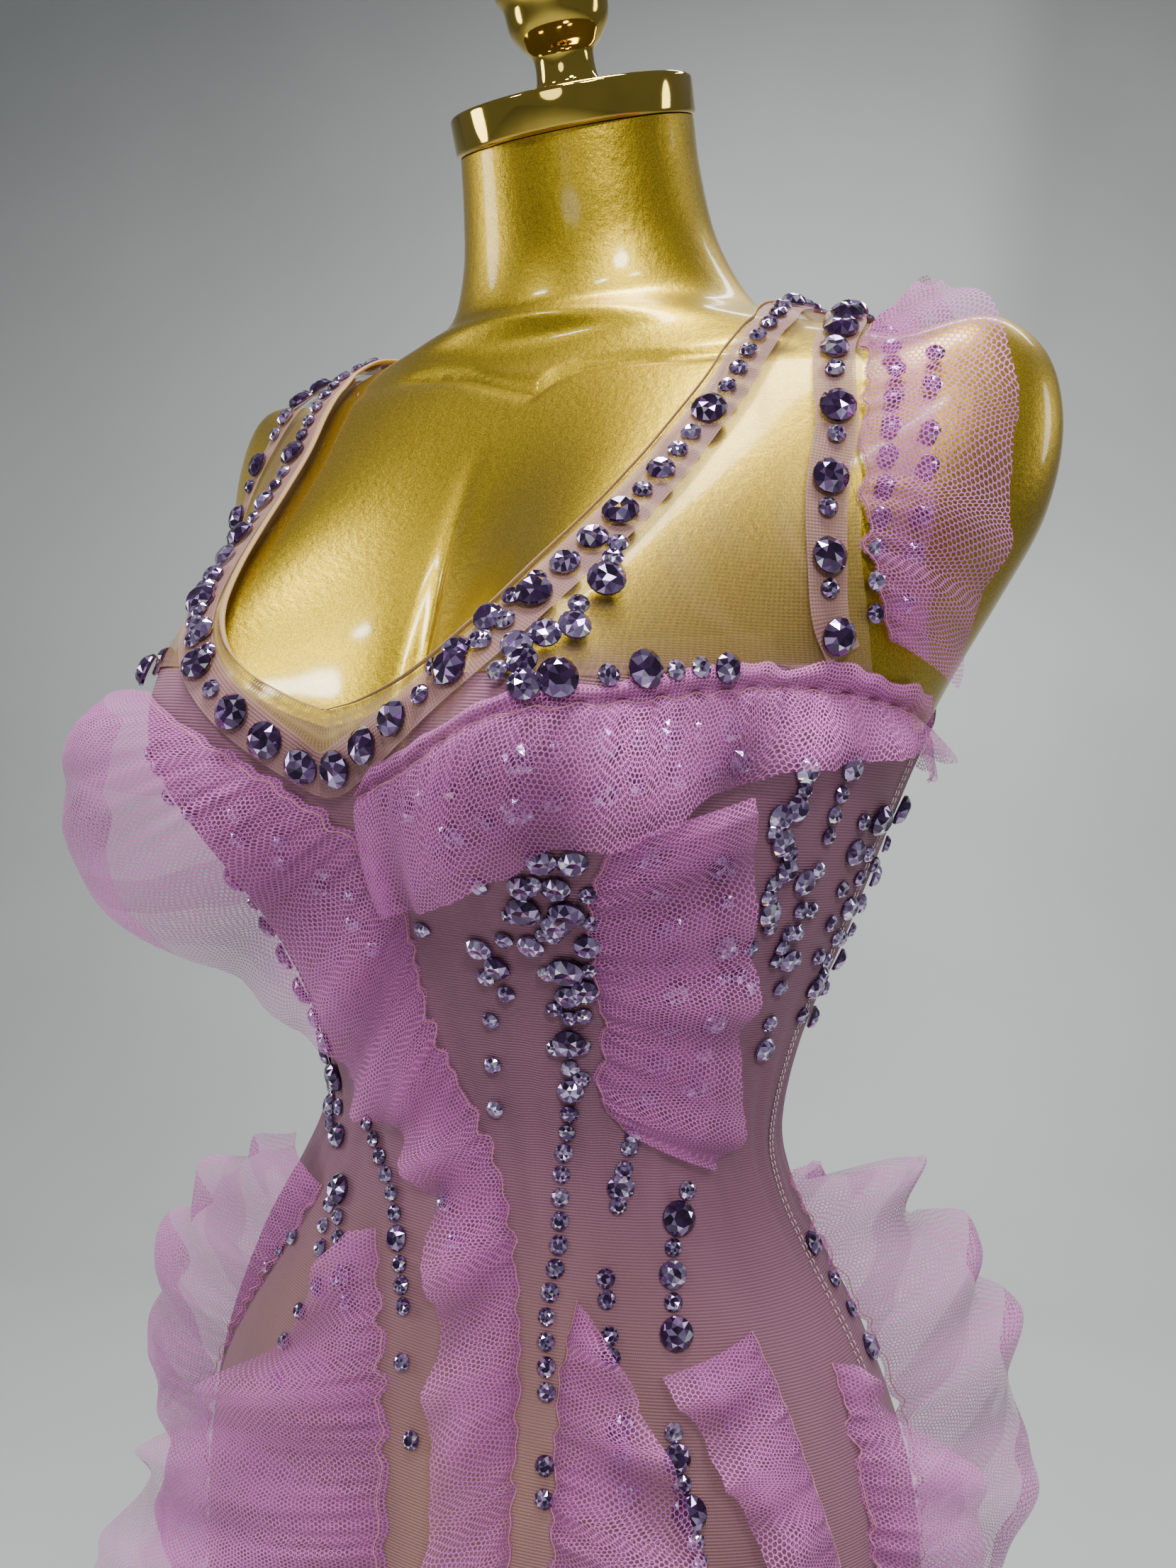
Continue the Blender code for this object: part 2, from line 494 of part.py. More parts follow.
def add_stones(carrier, places, out, guides):
    """Raises a turned stone from the carrier's outer face at each place."""
    bm = bmesh.new()
    for angle, height, letter in places:
        if letter != "L":
            continue
        point, across, up, normal = frame_on(angle, height)
        centre = point + normal * (out - STONE_SINK + (STONE_HEIGHT + STONE_SINK) / 2)
        axes = Matrix((across, up, normal)).transposed().to_4x4()
        bmesh.ops.create_cone(bm, cap_ends=True, segments=STONE_SIDES, radius1=STONE / 2,
                              radius2=STONE / 2 * STONE_TABLE, depth=STONE_HEIGHT + STONE_SINK,
                              matrix=Matrix.Translation(centre) @ axes)
    stones = add_object(f"{carrier.name}_stones", bm, guides, None)
    stones.hide_render = True
    stones.display_type = "WIRE"
    join = carrier.modifiers.new("stones", "BOOLEAN")
    join.operation = "UNION"
    join.object = stones


def mirrored(rows, side):
    """The same rows on the left (1) or the right (-1) of the body."""
    return [(side * angle, *rest) for angle, *rest in rows]


def panel_angles(first, last, columns):
    """Angles of a panel's columns."""
    return [first + (last - first) * k / columns for k in range(columns + 1)]


def build_form(collection):
    """Torso and neck, lofted through the body's rings with a small round at the bottom."""
    bm = bmesh.new()
    levels = [(shrink, FORM_BOTTOM + rise) for shrink, rise in BOTTOM_ROUND]
    levels += [(1.0, height) for height in LOW_HEIGHTS + FORM_HEIGHTS if height > FORM_BOTTOM]
    angles = panel_angles(-SIDE_SEAM, SIDE_SEAM, FRONT_COLUMNS)[:-1]
    angles += panel_angles(SIDE_SEAM, 360 - SIDE_SEAM, BACK_COLUMNS)[:-1]
    rings = []
    for shrink, height in levels:
        points = [body_point(angle, height, BARE_VALLEY) for angle in angles]
        rings.append([bm.verts.new((p[0] * shrink, p[1] * shrink, p[2])) for p in points])
    for low, high in zip(rings, rings[1:]):
        for k in range(len(angles)):
            after = (k + 1) % len(angles)
            bm.faces.new((low[k], low[after], high[after], high[k]))
    bm.faces.new(list(reversed(rings[0])))
    bm.faces.new(rings[-1])
    return add_object("form_torso", bm, collection, "form_gold")


def build_neck(collection):
    """Polished cap on the neck and the turned finial on the cap, both leaning with the neck."""
    height, centre, _, _, _, tilt = BODY_RINGS[-1]
    lean = math.radians(tilt)
    axis = Vector((0, -math.sin(lean), math.cos(lean)))
    seat = Vector((0, centre, height))
    bpy.ops.mesh.primitive_cylinder_add(vertices=ROUND_SIDES, radius=NECK_CAP_RADIUS, depth=NECK_CAP_HEIGHT)
    cap = bpy.context.object
    cap.name = "neck_cap"
    cap.location = seat + axis * (SEAT_GAP + NECK_CAP_HEIGHT / 2)
    cap.rotation_euler = (lean, 0, 0)
    for owner in cap.users_collection:
        owner.objects.unlink(cap)
    collection.objects.link(cap)
    cap.data.materials.append(make_finish("polished_gold"))
    cap.data.shade_smooth()
    cap.data.set_sharp_from_angle(angle=math.radians(SHARP_ANGLE))
    finial = add_turned("neck_finial", FINIAL_PROFILE, collection, "polished_gold", FINIAL_SIDES)
    finial.location = seat + axis * (2 * SEAT_GAP + NECK_CAP_HEIGHT)
    finial.rotation_euler = (lean, 0, 0)


def build_stand(collection):
    """Round base, pole and the collar that carries the form."""
    add_turned("stand_base", BASE_PROFILE, collection, "polished_gold", ROUND_SIDES)
    collar = add_turned("stand_collar", COLLAR_PROFILE, collection, "polished_gold")
    collar.location = (0, 0, FORM_BOTTOM - SEAT_GAP)
    low = BASE_HEIGHT + SEAT_GAP
    high = FORM_BOTTOM - COLLAR_HEIGHT - 2 * SEAT_GAP
    bpy.ops.mesh.primitive_cylinder_add(vertices=TURNED_SIDES, radius=POLE_RADIUS, depth=high - low)
    pole = bpy.context.object
    pole.name = "stand_pole"
    pole.location = (0, 0, (low + high) / 2)
    for owner in pole.users_collection:
        owner.objects.unlink(pole)
    collection.objects.link(pole)
    pole.data.materials.append(make_finish("polished_gold"))
    pole.data.shade_smooth()
    pole.data.set_sharp_from_angle(angle=math.radians(SHARP_ANGLE))


def panel_grid(first, last, columns, bust_rows, edge):
    """Points of a body panel from the hem to its top edge."""
    grid = []
    for height in LOW_HEIGHTS:
        grid.append([surface(angle, height, CLOTH_GAP) for angle in panel_angles(first, last, columns)])
    for j in range(1, bust_rows + 1):
        line = []
        for angle in panel_angles(first, last, columns):
            top = edge_height(edge, 360 - angle if angle > 180 else abs(angle))
            height = LOW_HEIGHTS[-1] + (top - LOW_HEIGHTS[-1]) * j / bust_rows
            line.append(surface(angle, height, CLOTH_GAP))
        grid.append(line)
    return grid


def yoke_grid(table, edge, rows, columns, side):
    """Points of a yoke from the panel's top edge to the shoulder."""
    grid = []
    for j in range(rows + 1):
        neck_angle, neck_height, arm_angle, arm_height = smooth_row(table, j * (len(table) - 1) / rows)
        line = []
        for k in range(columns + 1):
            t = k / columns
            angle = neck_angle + t * (arm_angle - neck_angle)
            height = neck_height + t * (arm_height - neck_height)
            if j == 0:
                height = edge_height(edge, angle) + SEAT_GAP
            line.append(surface(side * angle, height, YOKE_GAP))
        grid.append(line)
    return grid


def band_grid(knots):
    """Points of a band, three across, laid over the cloth beneath it."""
    inner = YOKE_OUT + BAND_GAP
    places = spaced_path(knots, BAND_STEP, inner)
    grid = []
    for k, (angle, height) in enumerate(places):
        before = surface(*places[max(k - 1, 0)], inner)
        after = surface(*places[min(k + 1, len(places) - 1)], inner)
        normal = frame_on(angle, height)[3]
        side = np.cross(normal, after - before)
        side *= BAND_WIDTH / 2 / np.linalg.norm(side)
        grid.append([surface(*step_on(angle, height, -side), inner), surface(angle, height, inner),
                     surface(*step_on(angle, height, side), inner)])
    return grid


def ruffle_grid(rows, foot, waves, swing, along):
    """Points of a ruffle from its gathered seam to its free edge, with waves that grow outwards."""
    grid = []
    low = PANEL_OUT + foot
    for i in range(along + 1):
        s = i / along
        seam_angle, seam_height, free_angle, free_height, lift = smooth_row(rows, s * (len(rows) - 1))
        line = []
        for j in range(RUFFLE_ACROSS + 1):
            t = j / RUFFLE_ACROSS
            wave = swing * t * math.sin(2 * math.pi * waves * s)
            out = low + (lift - low) * math.sin(0.5 * math.pi * t) + wave
            line.append(surface(seam_angle + t * (free_angle - seam_angle),
                                seam_height + t * (free_height - seam_height), max(out, low)))
        grid.append(line)
    return grid


def build_panels(collection, guides):
    """Front and back of the body mesh, hem to bust line, with the stones set on them."""
    low, high = SIDE_SEAM - SEAM_GAP, SIDE_SEAM + SEAM_GAP
    panels = {
        "front_panel": panel_grid(-low, low, FRONT_COLUMNS, FRONT_BUST_ROWS, FRONT_TOP),
        "back_panel": panel_grid(high, 360 - high, BACK_COLUMNS, BACK_BUST_ROWS, BACK_TOP),
    }
    for name, grid in panels.items():
        panel = add_cloth(name, grid, CLOTH, collection, "mauve_mesh")
        places = [place for carrier, knots, stones in STONE_CHAINS if carrier == name
                  for place in chain_places(knots, stones, PANEL_OUT)]
        places += [(angle, height, "L") for carrier, angle, height in CLUSTER_STONES if carrier == name]
        add_stones(panel, places, PANEL_OUT, guides)


def build_yokes(collection):
    """Sheer yokes from the bust line over each shoulder to the back panel."""
    for side, word in ((1, "left"), (-1, "right")):
        front = yoke_grid(FRONT_YOKE, FRONT_TOP, FRONT_YOKE_ROWS, FRONT_YOKE_COLUMNS, side)
        back = yoke_grid(BACK_YOKE, BACK_TOP, BACK_YOKE_ROWS, BACK_YOKE_COLUMNS, side)
        add_cloth(f"front_yoke_{word}", front, CLOTH, collection, "sheer_mesh")
        add_cloth(f"back_yoke_{word}", back, CLOTH, collection, "sheer_mesh")


def add_band(name, path, stones, collection, guides):
    """One band with its stones."""
    band = add_cloth(name, band_grid(path), BAND_CLOTH, collection, "band_mesh")
    add_stones(band, chain_places(path, stones, BAND_OUT), BAND_OUT, guides)


def build_bands(collection, guides):
    """Denser bands with set stones along the neckline, the bust line and the armholes."""
    whole = mirrored(NECKLINE_BAND[:0:-1], -1) + list(NECKLINE_BAND)
    add_band("neckline_band", whole, NECKLINE_STONES[::-1] + NECKLINE_STONES, collection, guides)
    for side, word in ((1, "left"), (-1, "right")):
        add_band(f"bust_band_{word}", mirrored(BUST_BAND, side), BUST_STONES, collection, guides)
        add_band(f"armhole_band_{word}", mirrored(ARMHOLE_BAND, side), ARMHOLE_STONES, collection, guides)


def build_ruffles(collection):
    """Gathered tulle ruffles on the bodice and the cascades round the skirt."""
    for name, shape in RUFFLES.items():
        add_cloth(name, ruffle_grid(**shape), CLOTH, collection, "orchid_tulle")


def main():
    """Clears the scene's objects and builds every piece."""
    for old in list(bpy.data.objects):
        bpy.data.objects.remove(old, do_unlink=True)
    collection = bpy.data.collections.new("mini_dress")
    guides = bpy.data.collections.new("stone_guides")
    for new in (collection, guides):
        bpy.context.scene.collection.children.link(new)
    build_form(collection)
    build_neck(collection)
    build_stand(collection)
    build_panels(collection, guides)
    build_yokes(collection)
    build_bands(collection, guides)
    build_ruffles(collection)


main()
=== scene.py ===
"""Look of the mini dress with tulle ruffles and set stones on its gold dress form.

Metres, +Z up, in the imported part's frame: the form faces -Y and its left side is +X.
Places on the body are given as an angle in degrees, 0 at the front and 90 at its left side, and a height.
"""
import math

import bpy
import numpy as np
from bpy.props import FloatProperty, FloatVectorProperty, IntProperty, PointerProperty
from mathutils import Matrix, Vector


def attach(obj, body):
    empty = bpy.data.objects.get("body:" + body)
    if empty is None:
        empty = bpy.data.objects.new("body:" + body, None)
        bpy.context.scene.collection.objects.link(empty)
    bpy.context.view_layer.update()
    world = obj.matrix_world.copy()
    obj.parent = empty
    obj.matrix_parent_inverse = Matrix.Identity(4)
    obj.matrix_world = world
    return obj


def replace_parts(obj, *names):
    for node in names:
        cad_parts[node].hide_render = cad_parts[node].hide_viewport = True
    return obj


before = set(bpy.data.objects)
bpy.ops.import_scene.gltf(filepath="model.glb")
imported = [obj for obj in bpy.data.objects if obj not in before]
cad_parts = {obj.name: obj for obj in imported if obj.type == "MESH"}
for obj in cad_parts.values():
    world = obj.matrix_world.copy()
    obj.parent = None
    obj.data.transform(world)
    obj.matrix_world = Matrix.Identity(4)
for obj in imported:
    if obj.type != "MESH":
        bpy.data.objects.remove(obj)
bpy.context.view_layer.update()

bl_info = {
    "name": "Mini Dress on a Form",
    "version": (1, 0, 0),
    "blender": (4, 5, 0),
    "location": "3D View > Sidebar > Dress",
    "description": "Sheer mini dress with tulle ruffles and set stones on a gold dress form",
    "category": "Add Mesh",
}

# Sizes shared with the part's solids
FORM_BOTTOM = 0.800
HEM = 0.660
CLOTH = 0.0012
BAND_CLOTH = 0.0010
CLOTH_GAP = 0.0017
BAND_GAP = 0.0010
SEAT_GAP = 0.0003
PANEL_OUT = CLOTH_GAP + CLOTH
YOKE_GAP = 0.0021
YOKE_OUT = YOKE_GAP + CLOTH
BAND_OUT = YOKE_OUT + BAND_GAP + BAND_CLOTH
SIDE_SEAM = 88.0
BAND_WIDTH = 0.0155
NECK_CAP_RADIUS = 0.0540
NECK_CAP_HEIGHT = 0.0158
BASE_HEIGHT = 0.034
POLE_RADIUS = 0.0125
COLLAR_HEIGHT = 0.030

# centre height, centre y, half width, front depth, back depth, forward tilt in degrees
BODY_RINGS = (
    (0.655, 0.01, 0.171, 0.133, 0.11, 0), (0.73, 0.012, 0.172, 0.134, 0.11, 0),
    (0.8, 0.012, 0.174, 0.135, 0.111, 0), (0.84, 0.012, 0.176, 0.137, 0.112, 0),
    (0.88, 0.01, 0.177, 0.136, 0.112, 0), (0.93, 0.004, 0.17, 0.126, 0.103, 0),
    (0.98, -0.003, 0.151, 0.109, 0.092, 0), (1.02, -0.008, 0.127, 0.096, 0.083, 0),
    (1.045, -0.011, 0.114, 0.089, 0.079, 0), (1.07, -0.013, 0.109, 0.087, 0.078, 0),
    (1.11, -0.017, 0.117, 0.095, 0.082, 0), (1.16, -0.021, 0.136, 0.098, 0.09, 0),
    (1.21, -0.024, 0.153, 0.098, 0.094, 0), (1.25, -0.024, 0.168, 0.094, 0.094, 0),
    (1.295, -0.023, 0.189, 0.091, 0.088, 0), (1.325, -0.022, 0.203, 0.086, 0.082, 0),
    (1.352, -0.021, 0.207, 0.078, 0.076, 0), (1.374, -0.021, 0.198, 0.069, 0.07, 0),
    (1.39, -0.022, 0.172, 0.061, 0.065, 3), (1.403, -0.024, 0.13, 0.057, 0.062, 6),
    (1.416, -0.02, 0.093, 0.064, 0.055, 9), (1.43, -0.016, 0.0735, 0.066, 0.048, 14),
    (1.452, -0.03, 0.0605, 0.0545, 0.05, 20), (1.477, -0.0415, 0.055, 0.051, 0.051, 25),
    (1.498, -0.0487, 0.0532, 0.0505, 0.0505, 27),
)
# steps between the rings and between a path's knots, and the points' distance along a band
FINE_STEPS, PATH_STEPS, BAND_STEP = 16, 12, 0.003
BUST_SIDE, BUST_HEIGHT, BUST_DEPTH, BUST_WIDTH = 0.080, 1.224, 0.080, 0.056
BUST_ABOVE, BUST_BELOW = 0.088, 0.072
BUST_FADE = (1.380, 1.425)
BARE_VALLEY, CLOTH_VALLEY = 1.0, 0.35
# the arm stubs' lift and outward push, from which x and over what width they grow, and their heights
STUB_LIFT, STUB_PUSH, STUB_START, STUB_SPAN = 0.018, 0.003, 0.144, 0.046
STUB_TOP, STUB_MIDDLE, STUB_FADE = 1.380, 1.325, 0.045
# half the gap between the panels at a side seam, in degrees
SEAM_GAP = 0.09

# angle, height: the panels' top edges
FRONT_TOP = (
    (0, 1.224), (7, 1.2285), (14, 1.236), (20, 1.2425), (27, 1.243), (35, 1.244), (45, 1.251), (55, 1.258),
    (64, 1.2585), (75, 1.249), (88, 1.238), (95, 1.237),
)
BACK_TOP = (
    (80, 1.238), (90, 1.239), (105, 1.25), (120, 1.268), (135, 1.279), (150, 1.286), (165, 1.289),
    (180, 1.29), (195, 1.289),
)
# neckline angle, neckline height, armhole angle, armhole height
FRONT_YOKE = (
    (22.0, 1.243, 66, 1.258), (21.4, 1.26, 61, 1.273), (23.5, 1.285, 54, 1.297), (24.8, 1.312, 49, 1.322),
    (25.8, 1.34, 46, 1.348), (28.0, 1.364, 47, 1.372), (33.2, 1.385, 52, 1.386), (43.0, 1.3995, 64, 1.3945),
    (62.0, 1.4085, 78, 1.399), (89.3, 1.413, 89.7, 1.4),
)
BACK_YOKE = (
    (168.5, 1.2893, 122.5, 1.27), (162.0, 1.306, 129, 1.297), (157.8, 1.332, 134, 1.322),
    (154.5, 1.356, 136, 1.348), (149.9, 1.378, 134, 1.372), (140.9, 1.395, 128, 1.386),
    (120.0, 1.408, 114, 1.3955), (90.7, 1.413, 90.3, 1.4),
)
# angle, height: middle of each band
NECKLINE_BAND = (
    (0, 1.209), (5.5, 1.2145), (10.5, 1.2215), (16, 1.231), (21, 1.244), (24.5, 1.26), (26.3, 1.28),
    (27.3, 1.3), (27.7, 1.32), (28.6, 1.342), (30.4, 1.36), (33, 1.376), (38.7, 1.3895), (51.3, 1.4005),
    (66.2, 1.407), (90, 1.4103), (113.8, 1.407), (128.7, 1.4005), (141.3, 1.3895), (148.5, 1.372),
    (152.4, 1.352), (155.1, 1.33), (158.2, 1.308), (163.5, 1.291), (171, 1.283), (179.6, 1.2815),
)
BUST_BAND = ((31.5, 1.246), (38, 1.249), (45, 1.2545), (50.5, 1.2595))
ARMHOLE_BAND = (
    (59.0, 1.263), (54.2, 1.275), (49.4, 1.296), (45.0, 1.32), (43.3, 1.345), (42.5, 1.364), (44.5, 1.379),
    (52.5, 1.391), (67, 1.3995), (90, 1.403), (110, 1.3995), (127, 1.392), (136, 1.378), (139, 1.36),
    (138.6, 1.34), (136.2, 1.314), (133, 1.292),
)

# Stones in order along a path: L large, M medium, s small, . a short space.
STONE_PITCH = {"L": 0.0150, "M": 0.0125, "s": 0.0085, ".": 0.0060}
STONE_SIZE = {"L": 0.0135, "M": 0.0108, "s": 0.0074}
NECKLINE_STONES = "LLLsLssLMMLsMssLsssssssMssssMsssssMssMsLsMssLsM"
ARMHOLE_STONES = "L.sL.sL.sL.sMLLLsssLsM.ssL.sM.ss.sM"
STONE_CHAINS = (
    (((33, 1.152), (32, 1.118), (31.5, 1.09), (29, 1.06), (27.5, 1.03), (24.5, 1.005), (24, 0.975)),
     "LMsLsMsssssssssssss"),
    (((18.5, 1.158), (17.5, 1.13), (16, 1.098), (15, 1.076)), "Ms.s.s.s"),
    (((58, 1.056), (51.5, 1.036), (48, 1.016), (46, 0.996)), "sLsMsL"),
    (((-48, 1.168), (-46, 1.13), (-42, 1.092), (-37, 1.062), (-31, 1.04)), "LsMLLsMLsM"),
    (((-27, 1.034), (-22, 1.016), (-17, 1.0), (-12, 0.985)), "Lss.Ms"),
    (((70, 1.188), (73, 1.16), (74, 1.132), (76, 1.104)), "MssMs.sM"),
    (((84, 1.215), (86, 1.186), (86.5, 1.15), (87, 1.118)), "LssMssMs"),
    (((92, 1.03), (96, 1.0), (98, 0.97)), "MssM"),
    (((97, 1.22), (100, 1.19), (102, 1.15), (103, 1.11)), "LsMssMsM"),
    (((128, 1.215), (130, 1.18), (133, 1.14), (136, 1.1), (137, 1.07)), "LMsMssMs.s"),
    (((158, 1.225), (158, 1.19), (160, 1.15), (162, 1.11), (163, 1.06)), "LLsMsM.sMss"),
    (((184, 1.225), (184, 1.18), (186, 1.13), (187, 1.08), (188, 1.04)), "MLsLsMsMs.sM"),
    (((212, 1.22), (210, 1.18), (208, 1.14), (206, 1.095), (205, 1.065)), "LsLsMs.Ms"),
    (((244, 1.205), (240, 1.16), (236, 1.11), (234, 1.06)), "LMsLsMssM"),
)
# angle, height, size: stones set singly round the chains' tops
SINGLE_STONES = (
    (35.5, 1.169, "L"), (29.0, 1.169, "L"), (34, 1.187, "M"), (38, 1.187, "M"), (32, 1.179, "s"),
    (35, 1.178, "M"), (32.3, 1.16, "s"), (37.5, 1.157, "M"), (28.0, 1.155, "M"), (23, 1.176, "s"),
    (8, 1.155, "s"), (23.5, 1.156, "s"), (4, 1.038, "s"), (7, 1.025, "s"), (24, 0.955, "s"),
    (24, 0.944, "s"), (30.2, 1.1775, "M"), (33.2, 1.164, "M"), (36.8, 1.147, "s"), (29.4, 1.144, "s"),
    (30.8, 1.16, "s"), (35.6, 1.138, "M"), (34.8, 1.127, "s"), (29.6, 1.129, "s"), (34.2, 1.114, "s"),
    (29.2, 1.112, "s"), (26.4, 1.166, "s"), (39.2, 1.176, "s"), (38.8, 1.166, "s"), (34.0, 1.1, "s"),
    (20.6, 1.144, "M"), (21.0, 1.133, "s"), (64.0, 1.156, "s"), (63.0, 1.145, "s"), (66.5, 1.14, "s"),
    (74.5, 1.17, "s"), (79.5, 1.205, "s"), (80.5, 1.193, "M"), (81.0, 1.178, "s"), (81.5, 1.164, "s"),
    (82.0, 1.15, "s"),
)
# stones clustered beside the neckline's row
CLUSTER_STONES = (
    (30.2, 1.2825, "s"), (29.6, 1.2878, "s"), (31.2, 1.2745, "L"), (30.6, 1.265, "s"), (31.6, 1.258, "M"),
    (29.6, 1.2545, "M"), (27.6, 1.25, "M"), (29.0, 1.2455, "M"), (30.4, 1.2385, "M"), (27.0, 1.242, "s"),
    (22.2, 1.259, "M"), (22.6, 1.2515, "s"), (20.4, 1.248, "M"), (18.4, 1.243, "s"), (24.6, 1.273, "s"),
    (23.4, 1.2665, "s"), (-19.5, 1.2475, "s"), (-22.0, 1.2555, "M"), (-24.5, 1.264, "s"),
    (-25.6, 1.273, "M"),
)
# stones of the bust line, above the ruffle
BUST_LINE_STONES = (
    (33, 1.2415, "L"), (37, 1.2445, "s"), (39.6, 1.2478, "L"), (42.2, 1.249, "s"), (44.2, 1.251, "s"),
    (46.6, 1.252, "M"),
)
# chains of small stones under the tulle, seen through it
COVERED_CHAINS = (
    (((13, 1.198), (26, 1.212), (40, 1.224), (52, 1.234)), "M.s.M..s.M.s..M.s.M.s.M"),
    (((15, 1.186), (28, 1.199), (42, 1.21), (55, 1.224)), ".s.M..s.M.s..M.s..M.s.M"),
    (((-44, 1.215), (-28, 1.204), (-13, 1.184), (-3, 1.162)), "s..s..s..s..s..s..s.s"),
    (((-40, 1.198), (-24, 1.186), (-10, 1.166), (-4, 1.14)), ".s..s...s..s..s..s.s"),
    (((46, 1.194), (50, 1.16), (51, 1.125), (47, 1.088)), "M.s.M.s.M.s.M.s"),
    (((55, 1.196), (59, 1.16), (60, 1.125), (57, 1.086)), ".M.s..M.s..M.s.M."),
    (((61, 1.276), (55.5, 1.3), (51.5, 1.325), (50, 1.352), (52, 1.378)), "s.s.s.s.s.s.s.s.s.s"),
    (((66, 1.276), (61, 1.3), (57, 1.325), (55, 1.352), (58, 1.378)), ".s..s.s..s.s..s.s.."),
)
# more chains, small stones only
SMALL_CHAINS = (
    (((45, 1.079), (42.5, 1.062), (40, 1.044)), "ss.sMs"),
    (((36, 1.024), (35, 1.006), (34.5, 0.99)), "ss.ss"), (((35, 0.976), (35, 0.96), (35, 0.946)), "Ms.s"),
    (((43, 0.974), (43, 0.96), (44, 0.944), (45, 0.925)), "sMsLss"),
    (((-23, 1.062), (-16, 1.05), (-9, 1.034), (-4, 1.012), (-0.5, 0.992)), "ssssssMsss"),
    (((0, 0.982), (1, 0.97)), "s"), (((4, 0.956), (4.5, 0.946)), "s"),
    (((-27, 1.024), (-25.5, 1.008), (-21, 0.99), (-24, 0.972), (-25, 0.955), (-23, 0.942)), "sss.s.s.s.s"),
    (((-34, 1.0), (-38, 0.99), (-41, 0.976)), "s.s.s"),
    (((63, 1.226), (65, 1.21), (62, 1.202), (67, 1.19), (65, 1.178), (67, 1.162)), "MsMMsMsMssMs"),
    (((71, 1.23), (71.5, 1.214), (72.5, 1.198), (73, 1.182)), "Msss.s"),
    (((71, 1.164), (70, 1.148)), "sss"), (((92, 1.192), (94, 1.174), (90, 1.158), (88, 1.136)), "s.s.s.s"),
    (((-52, 1.1), (-48, 1.08), (-44, 1.06), (-38, 1.046)), "MsMssMs"),
)

